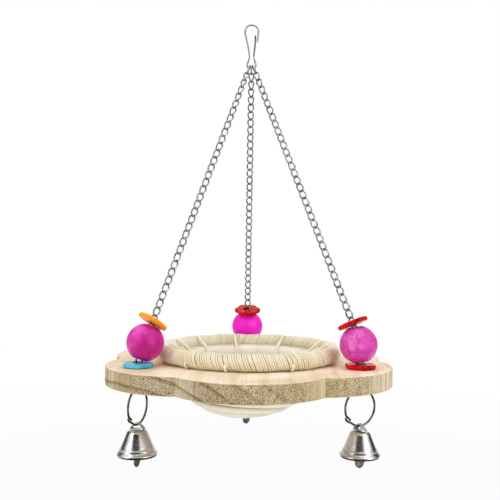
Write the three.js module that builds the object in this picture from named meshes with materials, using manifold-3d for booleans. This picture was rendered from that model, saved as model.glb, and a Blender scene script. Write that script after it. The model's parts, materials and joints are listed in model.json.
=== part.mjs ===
// A hanging bird nest: a coiled cotton bowl sits in a six-lobed pine board that hangs on three
// chains from one wire snap hook. Each chain carries a wooden bead between two flower discs and
// ends below the board in a wire ring with a bell. Millimetres, +Z up, +Y to the rear.
// The origin is the point inside the hook's bow that bears on whatever holds the nest up.

import * as THREE from 'three';
import { mergeVertices } from 'three/addons/utils/BufferGeometryUtils.js';
import Module from 'manifold-3d';

const wasm = await Module();
wasm.setup();

// Gaps between pieces that touch or pass through each other
const touchGap = 0.3;
const coilGap = 0.6;
const openingGap = 0.9;

// Two diagonals count as equally long up to this difference
const sameLength = 1e-6;

// Hook, one bent wire whose springy leg is the gate
const hookWireRadius = 0.6;
const hookBowRadius = 4.6;
const hookLength = 29.5;
const hookNeckDepth = 21.6;
const hookNeckHalfWidth = 1.45;
const hookEyeHalfWidth = 3;
const hookEyeCornerRadius = 1.2;
const hookTipDepth = 11.3;
const hookTipHalfWidth = 4;
const gateTipDepth = 6.6;
const hookFootGap = 0.2;

// Chains
const chainDrop = 201;
const chainSpacingOnBar = 1.5;
const linkPitch = 5.33;
const linkHalfWidth = 1.95;
const linkWireRadius = 0.58;
const linkTwist = 90;
const linkBite = 0.12;
const linkSteps = 8;
const linkSides = 3;
const chainBendRadius = 30;
const topRoll = 45;
const topRollLinks = 8;
const endRollLinks = 6;

// Beads and flower discs
const beadRadius = 12;
const beadBoreRadius = 3.7;
const discThickness = 2.8;
const discHoleRadius = 3.3;
const discLobes = 6;
const discLobeRadius = 4.8;
const discLobeCircle = 5.2;

// Nest. The bowl's top turn leans against the rim from inside.
const rimRadius = 57.5;
const rimCoreRadius = 3.3;
const rimWraps = 40;
const wrapSteps = 8;
const wrapThickness = 1.5;
const wrapSpacing = 0.9;
const bowlInset = 9;
const bowlRadius = rimRadius - bowlInset;
const bowlDepth = 34.7;
const bowlCoilRadius = 4.6;
const bowlSteps = 20;
const bowlSlump = 4;
const coilStartAzimuth = 342;
const coilLevelShare = 0.6;
const coilEvenTurns = 6;
const coilTipTurns = 0.3;
const tieRadius = 0.95;
const tieSlack = 0.3;
const tieOverRim = 26;
const tieRoundCord = 85;
const tieAzimuths = [15, 60, 101, 134, 160, 188, 214, 300, 325, 346];

// Board. Its opening clears the bowl, and its chain holes lie outside the rim, clear of the beads.
const boardThickness = 12;
const boardLobes = 6;
const boardLobeRadius = 52.7;
const boardEdgeRound = 0.8;
const nestOpeningRadius = bowlRadius + bowlCoilRadius + openingGap;
const chainHoleRadius = 3.5;
const chainHoleFromRim = 23.8;
const chainHoleFromEdge = 18.5;
const chainHoleCircle = rimRadius + chainHoleFromRim;
const boardLobeCircle = chainHoleCircle + chainHoleFromEdge - boardLobeRadius;

// Rings, bells and clappers
const ringOuterRadius = 12.25;
const ringWireRadius = 0.7;
const claspAngle = 216;
const claspHalfAngle = 9;
const claspOffset = 1.15;
const bellRadius = 13;
const bellHeight = 16.1;
const bellWall = 0.7;
const bellCrownRadius = 6.4;
const bellHoleRadius = 1.2;
const hangerThickness = 0.6;
const hangerWidth = 4;
const hangerTopWidth = 2.4;
const hangerBaseHalf = 5.4;
const bellDrop = 2.5;
const shankRadius = 0.85;
const loopRadius = 2;
const loopWireRadius = 0.45;
const clapperEyeWall = 0.6;
const clapperEyeWidth = 1.6;
const clapperThickness = 0.8;
const clapperLength = 18;
const clapperHalfWidth = 3.7;
const clapperNeckHalfWidth = 1.2;

// The three strands, named as the viewer in front of the nest sees them
const strands = [
  { name: 'left', azimuth: 210, barPlace: -1, bendHeight: 4.5, discTilt: 34, ringTurn: 67,
    topDisc: 0xf58a1e, bottomDisc: 0x5fc3d9 },
  { name: 'right', azimuth: 330, barPlace: 1, bendHeight: 16, discTilt: 25, ringTurn: 28,
    topDisc: 0xd5121c, bottomDisc: 0xc40d16 },
  { name: 'rear', azimuth: 90, barPlace: 0, bendHeight: 8, discTilt: 17, ringTurn: 40,
    topDisc: 0xe2232b, bottomDisc: 0xc40d16 },
];

const radians = THREE.MathUtils.degToRad;
const up = new THREE.Vector3(0, 0, 1);
const right = new THREE.Vector3(1, 0, 0);

const boardUnderside = -boardThickness;
const barDepth = hookLength - hookWireRadius;
const ringMeanRadius = ringOuterRadius - ringWireRadius;
const ringTopHeight = boardUnderside - touchGap - ringWireRadius;
const wrapInner = (rimCoreRadius + touchGap) / Math.cos(Math.PI / wrapSteps);
const wrapOuter = wrapInner + wrapThickness;
const rimHeight = wrapOuter + touchGap;

// Materials

function metal(colour, roughness = 0.25) {
  return new THREE.MeshStandardMaterial({ color: colour, metalness: 1, roughness });
}

function matt(colour, roughness = 0.8) {
  return new THREE.MeshStandardMaterial({ color: colour, metalness: 0, roughness });
}

// Shared geometry helpers

// Welds a closed surface by position alone and turns its faces outwards
function closedSurface(geometry) {
  const bare = new THREE.BufferGeometry();
  bare.setAttribute('position', geometry.getAttribute('position'));
  if (geometry.index) {
    bare.setIndex(geometry.index);
  }
  const welded = mergeVertices(bare, 1e-4);
  const corners = Array.from(welded.index.array);
  const kept = [];
  for (let i = 0; i < corners.length; i += 3) {
    const [a, b, c] = corners.slice(i, i + 3);
    if (a !== b && b !== c && c !== a) {
      kept.push(a, b, c);
    }
  }
  if (signedVolume(welded.getAttribute('position'), kept) < 0) {
    kept.reverse();
  }
  welded.setIndex(kept);
  return welded;
}

function signedVolume(position, corners) {
  const a = new THREE.Vector3();
  const b = new THREE.Vector3();
  const c = new THREE.Vector3();
  let sum = 0;
  for (let i = 0; i < corners.length; i += 3) {
    a.fromBufferAttribute(position, corners[i]);
    b.fromBufferAttribute(position, corners[i + 1]);
    c.fromBufferAttribute(position, corners[i + 2]);
    sum += a.dot(b.cross(c)) / 6;
  }
  return sum;
}

function solidOf(geometry) {
  const surface = closedSurface(geometry);
  return new wasm.Manifold(new wasm.Mesh({
    numProp: 3,
    vertProperties: Float32Array.from(surface.getAttribute('position').array),
    triVerts: Uint32Array.from(surface.index.array),
  }));
}

function geometryOf(solid) {
  const mesh = solid.getMesh();
  const geometry = new THREE.BufferGeometry();
  geometry.setAttribute('position', new THREE.BufferAttribute(mesh.vertProperties, 3));
  geometry.setIndex(new THREE.BufferAttribute(mesh.triVerts, 1));
  return geometry;
}

// Turns an (r, z) profile about the Z axis
function revolved(profile, segments) {
  const points = profile.map(([r, z]) => new THREE.Vector2(r, z));
  return closedSurface(new THREE.LatheGeometry(points, segments).rotateX(Math.PI / 2));
}

// A round wire along a smooth curve through the given points
function bentWire(points, radius, steps, sides) {
  const section = new THREE.Shape();
  for (let i = 0; i < sides; i += 1) {
    const angle = 2 * Math.PI * i / sides;
    section[i ? 'lineTo' : 'moveTo'](radius * Math.cos(angle), radius * Math.sin(angle));
  }
  const path = new THREE.CatmullRomCurve3(points, false, 'centripetal');
  return closedSurface(new THREE.ExtrudeGeometry(section, { steps, extrudePath: path, bevelEnabled: false }));
}

// Joins rings of equally many points into one skin, closed on itself or capped at both ends. Each
// four-cornered patch is split along its shorter diagonal, so that a twisted skin bulges outwards.
function skinOver(rings, endless) {
  const sides = rings[0].length;
  const corners = [];
  const points = rings.flat();
  const spans = endless ? rings.length : rings.length - 1;
  for (let i = 0; i < spans; i += 1) {
    for (let j = 0; j < sides; j += 1) {
      const a = i * sides + j;
      const b = i * sides + (j + 1) % sides;
      const c = ((i + 1) % rings.length) * sides + (j + 1) % sides;
      const d = ((i + 1) % rings.length) * sides + j;
      if (points[b].distanceTo(points[d]) < points[a].distanceTo(points[c]) - sameLength) {
        corners.push(a, b, d, b, c, d);
      } else {
        corners.push(a, b, c, a, c, d);
      }
    }
  }
  if (!endless) {
    const last = (rings.length - 1) * sides;
    for (let j = 1; j < sides - 1; j += 1) {
      corners.push(0, j + 1, j, last, last + j, last + j + 1);
    }
  }
  const geometry = new THREE.BufferGeometry();
  const numbers = points.flatMap((point) => point.toArray());
  geometry.setAttribute('position', new THREE.Float32BufferAttribute(numbers, 3));
  geometry.setIndex(corners);
  return closedSurface(geometry);
}

// A flower outline of equal round lobes, the first lobe on +X
function lobedShape(lobes, lobeRadius, lobeCircle) {
  const halfStep = Math.PI / lobes;
  const notch = lobeCircle * Math.cos(halfStep)
    + Math.sqrt(lobeRadius ** 2 - (lobeCircle * Math.sin(halfStep)) ** 2);
  const reach = Math.atan2(notch * Math.sin(halfStep), notch * Math.cos(halfStep) - lobeCircle);
  const shape = new THREE.Shape();
  for (let i = 0; i < lobes; i += 1) {
    const turn = 2 * halfStep * i;
    shape.absarc(lobeCircle * Math.cos(turn), lobeCircle * Math.sin(turn), lobeRadius,
      turn - reach, turn + reach, false);
  }
  return shape;
}

// A round opening in a flat outline, as a polygon whose flats touch the circle
function roundHole(radius, segments) {
  const corner = radius / Math.cos(Math.PI / segments);
  const points = [];
  for (let i = 0; i < segments; i += 1) {
    const angle = 2 * Math.PI * i / segments;
    points.push(new THREE.Vector2(corner * Math.cos(angle), corner * Math.sin(angle)));
  }
  return new THREE.Path(points);
}

function around(azimuth, radius, height) {
  const angle = radians(azimuth);
  return new THREE.Vector3(radius * Math.cos(angle), radius * Math.sin(angle), height);
}

function named(name, geometry, material) {
  const mesh = new THREE.Mesh(geometry, material);
  mesh.name = name;
  return mesh;
}

// Hook, in its own plane, with its bearing point at the origin

const gateFoot = new THREE.Vector3(hookNeckHalfWidth, 0, -hookNeckDepth);

function hookWire() {
  const bowCentre = hookWireRadius - hookBowRadius;
  const eyeBottom = -barDepth;
  const corner = hookEyeCornerRadius;
  const points = [];
  points.push(new THREE.Vector3(hookTipHalfWidth, 0, -hookTipDepth));
  for (let degrees = -10; degrees <= 190; degrees += 25) {
    const angle = radians(degrees);
    points.push(new THREE.Vector3(hookBowRadius * Math.cos(angle), 0, bowCentre + hookBowRadius * Math.sin(angle)));
  }
  points.push(new THREE.Vector3(-hookNeckHalfWidth, 0, -hookNeckDepth));
  points.push(new THREE.Vector3(-hookEyeHalfWidth, 0, eyeBottom + 1.6 * corner));
  points.push(new THREE.Vector3(-hookEyeHalfWidth + 0.25 * corner, 0, eyeBottom + 0.3 * corner));
  points.push(new THREE.Vector3(-hookEyeHalfWidth + corner, 0, eyeBottom));
  points.push(new THREE.Vector3(0, 0, eyeBottom));
  points.push(new THREE.Vector3(hookEyeHalfWidth - corner, 0, eyeBottom));
  points.push(new THREE.Vector3(hookEyeHalfWidth - 0.25 * corner, 0, eyeBottom + 0.3 * corner));
  points.push(new THREE.Vector3(hookEyeHalfWidth, 0, eyeBottom + 1.6 * corner));
  points.push(gateFoot.clone().add(new THREE.Vector3(0.25 * hookFootGap, 0, -hookFootGap)));
  return named('hook_wire', bentWire(points, hookWireRadius, 40, 6), metal(0xb9babd));
}

// The gate leg rises from the neck and closes against the inside of the hook's tip
function hookGate() {
  const inside = hookTipHalfWidth - 2 * hookWireRadius - touchGap;
  const tipHeight = -gateTipDepth;
  const points = [
    gateFoot.clone().add(new THREE.Vector3(0.1 * hookFootGap, 0, hookFootGap)),
    gateFoot.clone().lerp(new THREE.Vector3(inside, 0, -hookTipDepth), 0.5),
    new THREE.Vector3(inside, 0, -hookTipDepth),
    new THREE.Vector3(inside + 0.1, 0, tipHeight),
  ];
  return named('hook_gate', bentWire(points, hookWireRadius, 8, 6), metal(0xb9babd));
}

// Chains. The path runs straight from the hook's eye, bends and drops through the board.

function chainPath(strand) {
  const bar = new THREE.Vector3(strand.barPlace * chainSpacingOnBar, 0, chainDrop);
  const bend = around(strand.azimuth, chainHoleCircle, strand.bendHeight);
  const end = around(strand.azimuth, chainHoleCircle, ringTopHeight - ringWireRadius - touchGap);
  const lean = bend.clone().sub(bar).normalize();
  const start = bar.clone().addScaledVector(lean, -hookWireRadius - touchGap);
  const turn = lean.angleTo(up.clone().negate());
  const reach = chainBendRadius * Math.tan(turn / 2);
  const above = bend.clone().addScaledVector(lean, -reach);
  const below = bend.clone().addScaledVector(up, -reach);
  const path = new THREE.CurvePath();
  path.add(new THREE.LineCurve3(start, above));
  path.add(new THREE.QuadraticBezierCurve3(above, bend, below));
  path.add(new THREE.LineCurve3(below, end));
  return path;
}

// The place on the path where the function of the point changes sign from plus to minus
function whereOnPath(path, measure) {
  let low = 0;
  let high = 1;
  for (let i = 0; i < 40; i += 1) {
    const middle = (low + high) / 2;
    if (measure(path.getPointAt(middle)) > 0) {
      low = middle;
    } else {
      high = middle;
    }
  }
  return path.getPointAt(low);
}

function pathPointAtHeight(path, height) {
  return whereOnPath(path, (point) => point.z - height);
}

// One link: an oval of wire from one contact point to the next, twisted about the chain's line so
// that its two ends stand square to its neighbours'. The first link is flat, for the hook's bar.
function chainLink(from, to, side, twist) {
  const line = to.clone().sub(from);
  const pitch = line.length();
  line.normalize();
  const centre = from.clone().add(to).multiplyScalar(0.5);
  const halfStep = Math.PI / linkSteps;
  const endReach = (pitch + 2 * linkWireRadius - linkBite) / 2;
  const along = endReach / Math.cos(halfStep);
  const across = linkHalfWidth / Math.cos(halfStep);
  const spots = [];
  for (let i = 0; i < linkSteps; i += 1) {
    const t = 2 * halfStep * (i + 0.5);
    const x = along * Math.cos(t);
    const turned = side.clone().applyAxisAngle(line, radians(twist) * x / (2 * endReach));
    spots.push(centre.clone().addScaledVector(line, x).addScaledVector(turned, across * Math.sin(t)));
  }
  const rings = spots.map((spot, i) => {
    const before = spot.clone().sub(spots[(i + linkSteps - 1) % linkSteps]).normalize();
    const after = spots[(i + 1) % linkSteps].clone().sub(spot).normalize();
    const tangent = before.clone().add(after).normalize();
    const inward = after.clone().sub(before);
    inward.addScaledVector(tangent, -inward.dot(tangent)).normalize();
    const cross = tangent.clone().cross(inward);
    const mitre = linkWireRadius / tangent.dot(after);
    const ring = [];
    for (let j = 0; j < linkSides; j += 1) {
      const angle = 2 * Math.PI * j / linkSides;
      ring.push(spot.clone().addScaledVector(inward, mitre * Math.cos(angle))
        .addScaledVector(cross, linkWireRadius * Math.sin(angle)));
    }
    return ring;
  });
  return solidOf(skinOver(rings, true));
}

// The chain's flat side rolls from the hook's bar to face front, then to take the ring
function linkRoll(index, count, endRoll) {
  const fromTop = Math.min(1, (index - 1) / topRollLinks);
  const fromEnd = Math.max(0, 1 - (count - 1 - index) / endRollLinks);
  return topRoll * (1 - fromTop) + endRoll * fromEnd;
}

function chain(strand, path) {
  const count = Math.round(path.getLength() / linkPitch);
  const endRoll = linkTwist / 2 - strand.ringTurn;
  let whole = null;
  for (let i = count - 1; i >= 0; i -= 1) {
    const from = path.getPointAt(i / count);
    const to = path.getPointAt((i + 1) / count);
    const line = to.clone().sub(from).normalize();
    const front = right.clone().addScaledVector(line, -right.dot(line)).normalize();
    const roll = i === 0 ? 90 : linkRoll(i, count, endRoll);
    const side = front.applyAxisAngle(line, radians(roll));
    const link = chainLink(from, to, side, i === 0 ? 0 : linkTwist);
    whole = whole ? whole.add(link) : link;
  }
  return named(`chain_${strand.name}`, geometryOf(whole), metal(0xc2c4c6));
}

// Board

function board() {
  const shape = lobedShape(boardLobes, boardLobeRadius - boardEdgeRound, boardLobeCircle);
  shape.holes.push(roundHole(nestOpeningRadius + boardEdgeRound, 40));
  const body = new THREE.ExtrudeGeometry(shape, {
    depth: boardThickness - 2 * boardEdgeRound,
    curveSegments: 5,
    bevelThickness: boardEdgeRound,
    bevelSize: boardEdgeRound,
    bevelSegments: 1,
  });
  body.rotateZ(Math.PI / 2).translate(0, 0, boardUnderside + boardEdgeRound);
  let whole = solidOf(body);
  for (const strand of strands) {
    const centre = around(strand.azimuth, chainHoleCircle, boardUnderside / 2);
    const drill = new THREE.CylinderGeometry(chainHoleRadius, chainHoleRadius, 2 * boardThickness, 12);
    whole = whole.subtract(solidOf(drill.rotateX(Math.PI / 2).translate(...centre.toArray())));
  }
  return named('scalloped_board', geometryOf(whole), matt(0xe3c9a0));
}

// Beads and discs

function bead(strand, path) {
  const discTop = 2 * touchGap + discThickness;
  const height = discTop + beadRadius;
  const reach = Math.sqrt(beadRadius ** 2 - beadBoreRadius ** 2);
  const top = pathPointAtHeight(path, height + reach);
  const bottom = pathPointAtHeight(path, height - reach);
  const axis = top.clone().sub(bottom).normalize();
  const chordPoint = bottom.clone().lerp(top, (height - bottom.z) / (top.z - bottom.z));
  const bulge = pathPointAtHeight(path, strand.bendHeight).sub(
    bottom.clone().lerp(top, Math.max(0, (strand.bendHeight - bottom.z) / (top.z - bottom.z))));
  const centre = chordPoint.addScaledVector(bulge.setZ(0), 0.5);
  const edge = Math.asin(beadBoreRadius / beadRadius);
  const profile = [];
  const arcSteps = 7;
  for (let i = 0; i <= arcSteps; i += 1) {
    const angle = edge + (Math.PI - 2 * edge) * i / arcSteps;
    profile.push([beadRadius * Math.sin(angle), beadRadius * Math.cos(angle)]);
  }
  profile.push(profile[0]);
  const mesh = named(`bead_${strand.name}`, revolved(profile, 14), matt(0xd42fae, 0.45));
  mesh.position.copy(centre);
  mesh.quaternion.setFromUnitVectors(up, axis);
  return mesh;
}

function flowerDisc(name, colour) {
  const shape = lobedShape(discLobes, discLobeRadius, discLobeCircle);
  shape.holes.push(roundHole(discHoleRadius, 10));
  const body = new THREE.ExtrudeGeometry(shape, { depth: discThickness, curveSegments: 2, bevelEnabled: false });
  body.translate(0, 0, -discThickness / 2);
  return named(name, closedSurface(body), matt(colour, 0.3));
}

// The upper disc lies on the bead with its hole on the chain, tipped towards the nest
function topDisc(strand, path, beadCentre) {
  const mesh = flowerDisc(`top_disc_${strand.name}`, strand.topDisc);
  const tilt = radians(strand.discTilt);
  const normal = around(strand.azimuth, -Math.sin(tilt), Math.cos(tilt));
  const lift = beadRadius + touchGap + discThickness / 2;
  const spot = whereOnPath(path, (point) => point.clone().sub(beadCentre).dot(normal) - lift);
  mesh.position.copy(spot);
  mesh.quaternion.setFromUnitVectors(up, normal);
  return mesh;
}

function bottomDisc(strand) {
  const mesh = flowerDisc(`bottom_disc_${strand.name}`, strand.bottomDisc);
  mesh.position.copy(around(strand.azimuth, chainHoleCircle, touchGap + discThickness / 2));
  mesh.rotation.z = radians(strand.azimuth);
  return mesh;
}

// Nest

function rimCore() {
  const mesh = named('rim_core', closedSurface(new THREE.TorusGeometry(rimRadius, rimCoreRadius, 6, 36)),
    matt(0xcdb98f));
  mesh.position.z = rimHeight;
  return mesh;
}

// Cotton cord wound round the rim's hoop as one unbroken tube, open by one gap where it ends
function rimWinding() {
  const tightPitch = 2 * Math.PI * (rimRadius - wrapOuter) / rimWraps;
  const halfBand = (tightPitch - wrapSpacing) / 2;
  const steps = rimWraps * wrapSteps - 2;
  const rings = [];
  for (let i = 0; i <= steps; i += 1) {
    const wrapAngle = 2 * Math.PI * i / wrapSteps;
    const azimuth = 2 * Math.PI * i / (rimWraps * wrapSteps);
    const outward = new THREE.Vector3(Math.cos(azimuth), Math.sin(azimuth), 0);
    const along = new THREE.Vector3(-Math.sin(azimuth), Math.cos(azimuth), 0);
    const normal = outward.clone().multiplyScalar(Math.cos(wrapAngle)).addScaledVector(up, Math.sin(wrapAngle));
    const centre = outward.clone().multiplyScalar(rimRadius);
    const place = (across, height) => centre.clone().addScaledVector(along, across)
      .addScaledVector(normal, height);
    rings.push([
      place(-halfBand, wrapInner),
      place(halfBand, wrapInner),
      place(0.7 * halfBand, wrapOuter),
      place(-0.7 * halfBand, wrapOuter),
    ]);
  }
  reportGap('rim winding', rings, wrapSteps);
  const mesh = named('rim_winding', skinOver(rings, false), matt(0xf1e7cf, 0.95));
  mesh.position.z = rimHeight;
  return mesh;
}

// The smallest distance between points of the tube that are more than half a turn apart
function reportGap(label, rings, stepsPerTurn) {
  let least = Infinity;
  for (let i = 0; i < rings.length; i += 1) {
    for (let k = i + Math.floor(stepsPerTurn / 2) + 1; k < rings.length; k += 1) {
      if (rings[i][0].distanceTo(rings[k][0]) > 4 * bowlCoilRadius) {
        continue;
      }
      for (const a of rings[i]) {
        for (const b of rings[k]) {
          least = Math.min(least, a.distanceTo(b));
        }
      }
    }
  }
  console.log(`${label}: least gap to itself ${least.toFixed(2)} mm`);
}

const bowlTopHeight = rimHeight
  - Math.sqrt((wrapOuter + bowlCoilRadius + 2 * touchGap) ** 2 - (rimRadius - bowlRadius) ** 2);

// How far down the bowl the cord has come after so many turns, counted in widths of the cord. It
// drops only beside its own start at first, and ever more evenly towards the floor.
function coilDrop(turn) {
  const whole = Math.floor(turn);
  const part = turn - whole;
  const late = THREE.MathUtils.smoothstep(part, coilLevelShare, 1);
  return whole + THREE.MathUtils.lerp(late, part, Math.min(1, whole / coilEvenTurns));
}

// The cord's stations from its thin tip, laid between the rim and the first turn, to the floor
function bowlStations() {
  const flatWidth = 2 * bowlCoilRadius * Math.cos(Math.PI / 6);
  const stations = [];
  const tipSteps = Math.round(coilTipTurns * bowlSteps);
  for (let i = -tipSteps; i < 0; i += 1) {
    const wedge = coilDrop(1 + i / bowlSteps) * (flatWidth + coilGap);
    stations.push({
      turn: i / bowlSteps,
      angle: (wedge - flatWidth - coilGap) / 2 / bowlDepth,
      radius: bowlCoilRadius * (wedge - coilGap) / flatWidth,
    });
  }
  let angle = 0;
  for (let i = 0; bowlRadius * Math.cos(angle) > bowlCoilRadius + 2 * coilGap; i += 1) {
    stations.push({ turn: i / bowlSteps, angle, radius: bowlCoilRadius });
    const arcPerAngle = Math.hypot(bowlRadius * Math.sin(angle), bowlDepth * Math.cos(angle));
    const bend = arcPerAngle ** 3 / (bowlRadius * bowlDepth);
    const width = (flatWidth + coilGap) / (1 - bowlCoilRadius / 2 / bend);
    angle += width * (coilDrop((i + 1) / bowlSteps) - coilDrop(i / bowlSteps)) / arcPerAngle;
  }
  return stations;
}

// A station's place on the bowl's quarter ellipse, and the direction out of the bowl there
function bowlPlace(station) {
  const azimuth = radians(coilStartAzimuth) + 2 * Math.PI * station.turn;
  const outward = new THREE.Vector3(Math.cos(azimuth), Math.sin(azimuth), 0);
  const reach = bowlRadius * Math.cos(station.angle);
  const point = outward.clone().multiplyScalar(reach);
  point.z = bowlTopHeight - bowlDepth * Math.sin(station.angle);
  point.x -= bowlSlump * Math.sin(station.angle) ** 2;
  const normal = outward.clone().multiplyScalar(bowlDepth * Math.cos(station.angle))
    .addScaledVector(up, -bowlRadius * Math.sin(station.angle)).normalize();
  const tangent = new THREE.Vector3(-Math.sin(azimuth), Math.cos(azimuth), 0);
  return { point, normal, sideways: tangent.cross(normal).normalize(), reach };
}

// One cord coiled from under the rim to the middle of the bowl's floor
function bowlCoil(stations) {
  const rings = stations.map((station) => {
    const { point, normal, sideways } = bowlPlace(station);
    const ring = [];
    for (let j = 0; j < 6; j += 1) {
      const a = Math.PI * j / 3;
      ring.push(point.clone().addScaledVector(normal, station.radius * Math.cos(a))
        .addScaledVector(sideways, station.radius * Math.sin(a)));
    }
    return ring;
  });
  reportGap('bowl coil', rings, bowlSteps);
  return named('bowl_coil', skinOver(rings, false), matt(0xefe6d2, 0.95));
}

// The stretch of the bowl's cord that lies next under the rim at an azimuth
function cordUnderRim(stations, azimuth) {
  const turn = (azimuth - coilStartAzimuth + 360) % 360 / 360;
  const nearest = (wanted) => stations.reduce((best, station) => (
    Math.abs(station.turn - wanted) < Math.abs(best.turn - wanted) ? station : best));
  const tip = nearest(turn - 1);
  return tip.turn < 0 && tip.radius > 0.6 * bowlCoilRadius ? tip : nearest(turn);
}

// Short cords that tie the bowl to the rim: each lies over the rim, runs straight across to the
// bowl's cord and follows it round
function tie(number, azimuth, stations) {
  const cord = cordUnderRim(stations, azimuth);
  const { point, reach } = bowlPlace(cord);
  const overRim = wrapOuter + touchGap + tieRadius + tieSlack;
  const overCord = cord.radius + touchGap + tieRadius + tieSlack;
  const inward = rimRadius - reach;
  const down = rimHeight - point.z;
  const towardsCord = 180 + THREE.MathUtils.radToDeg(Math.atan2(down, inward));
  const leave = towardsCord
    - THREE.MathUtils.radToDeg(Math.acos((overRim - overCord) / Math.hypot(inward, down)));
  const place = (circleRadius, height, distance, degrees) => around(azimuth,
    circleRadius + distance * Math.cos(radians(degrees)), height + distance * Math.sin(radians(degrees)));
  const points = [
    place(rimRadius, rimHeight, overRim, leave - tieOverRim),
    place(rimRadius, rimHeight, overRim, leave),
  ];
  for (let i = 0; i <= 3; i += 1) {
    points.push(place(reach, point.z, overCord, leave + tieRoundCord * i / 3));
  }
  return named(`tie_${number}`, bentWire(points, tieRadius, 7, 5), matt(0xf3ead2, 0.95));
}

// Ring, hanger, bell and clapper, in the ring's own frame: X along the ring, Z up, and the
// origin at the centre of the wire at the ring's top

const ringBottom = -2 * ringMeanRadius;
const hangerTop = ringBottom + ringWireRadius + touchGap;
const hangerBase = ringBottom - ringWireRadius - bellDrop + touchGap;
const bellCrown = hangerBase - touchGap;
const loopCentre = bellCrown - bellWall - touchGap - loopWireRadius - loopRadius - touchGap / 2;
const clapperPivot = loopCentre - loopRadius;

function ring(strand) {
  const at = (degrees, offset) => new THREE.Vector3(
    (ringMeanRadius + offset) * Math.cos(radians(degrees)), 0,
    (ringMeanRadius + offset) * Math.sin(radians(degrees)) - ringMeanRadius);
  const points = [
    at(claspAngle - claspHalfAngle, 0.8 * claspOffset),
    at(claspAngle - 0.4 * claspHalfAngle, claspOffset),
    at(claspAngle + 0.5 * claspHalfAngle, 0.7 * claspOffset),
  ];
  const plainStart = claspAngle + 1.5 * claspHalfAngle;
  const plainTurn = 360 - 3 * claspHalfAngle;
  for (let i = 0; i <= 12; i += 1) {
    points.push(at(plainStart + plainTurn * i / 12, 0));
  }
  points.push(
    at(claspAngle - 0.5 * claspHalfAngle + 360, -0.7 * claspOffset),
    at(claspAngle + 0.4 * claspHalfAngle + 360, -claspOffset),
    at(claspAngle + claspHalfAngle + 360, -0.8 * claspOffset),
  );
  return named(`ring_${strand.name}`, bentWire(points, ringWireRadius, 26, 5), metal(0x9c9ea1));
}

// A strip bent into a triangle over the ring, its shank through the crown and a loop below
function hanger(strand) {
  const shape = new THREE.Shape();
  const topHalf = ringWireRadius + touchGap;
  const height = hangerTop - hangerBase;
  const t = hangerThickness;
  shape.moveTo(-hangerBaseHalf, 0);
  shape.lineTo(hangerBaseHalf, 0);
  shape.lineTo(hangerBaseHalf - 0.2, 0.7 * t);
  shape.lineTo(topHalf + 0.6 * t, height - 0.2);
  shape.lineTo(0.5 * topHalf, height + t);
  shape.lineTo(-0.5 * topHalf, height + t);
  shape.lineTo(-topHalf - 0.6 * t, height - 0.2);
  shape.lineTo(-hangerBaseHalf + 0.2, 0.7 * t);
  const window = new THREE.Path();
  window.moveTo(-hangerBaseHalf + 2.4 * t, t);
  window.lineTo(-topHalf, height - 0.5);
  window.lineTo(-0.4 * topHalf, height);
  window.lineTo(0.4 * topHalf, height);
  window.lineTo(topHalf, height - 0.5);
  window.lineTo(hangerBaseHalf - 2.4 * t, t);
  shape.holes.push(window);
  const strip = new THREE.ExtrudeGeometry(shape, { depth: hangerWidth, bevelEnabled: false });
  strip.translate(0, 0, -hangerWidth / 2);
  const position = strip.getAttribute('position');
  for (let i = 0; i < position.count; i += 1) {
    const share = position.getY(i) / height;
    const width = THREE.MathUtils.lerp(hangerWidth, hangerTopWidth, share);
    position.setZ(i, position.getZ(i) * width / hangerWidth);
  }
  strip.rotateX(Math.PI / 2).rotateZ(Math.PI / 2).translate(0, 0, hangerBase);
  const shankLength = hangerBase + t / 2 - (loopCentre + loopRadius);
  const shank = new THREE.CylinderGeometry(shankRadius, shankRadius, shankLength, 8);
  shank.rotateX(Math.PI / 2).translate(0, 0, loopCentre + loopRadius + shankLength / 2);
  const loop = new THREE.TorusGeometry(loopRadius, loopWireRadius, 5, 12);
  loop.rotateX(Math.PI / 2).translate(0, 0, loopCentre);
  const whole = solidOf(strip).add(solidOf(shank)).add(solidOf(loop));
  return named(`bell_hanger_${strand.name}`, geometryOf(whole), metal(0xaeb0b2));
}

// A spun shell: flat crown, straight flank, one raised line and a flared lip
function bell(strand) {
  const w = bellWall;
  const lip = -bellHeight;
  const lineHeight = 0.72 * lip;
  const lineRadius = bellCrownRadius + 0.68 * (bellRadius - bellCrownRadius);
  const profile = [
    [bellHoleRadius, 0],
    [bellCrownRadius - 1.1, 0],
    [bellCrownRadius, -1.1],
    [lineRadius, lineHeight],
    [lineRadius + 0.45, lineHeight - 0.5],
    [bellRadius, lip + 0.8],
    [bellRadius - 0.2, lip],
    [bellRadius - w - 0.2, lip],
    [lineRadius - w + 0.2, lineHeight - 0.6],
    [bellCrownRadius - w, -1.1 - 0.6 * w],
    [bellCrownRadius - 1.1 - 0.3 * w, -w],
    [bellHoleRadius, -w],
  ];
  profile.push(profile[0]);
  const mesh = named(`bell_${strand.name}`, revolved(profile, 16), metal(0xcfd0d2, 0.12));
  mesh.position.z = bellCrown;
  return mesh;
}

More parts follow.
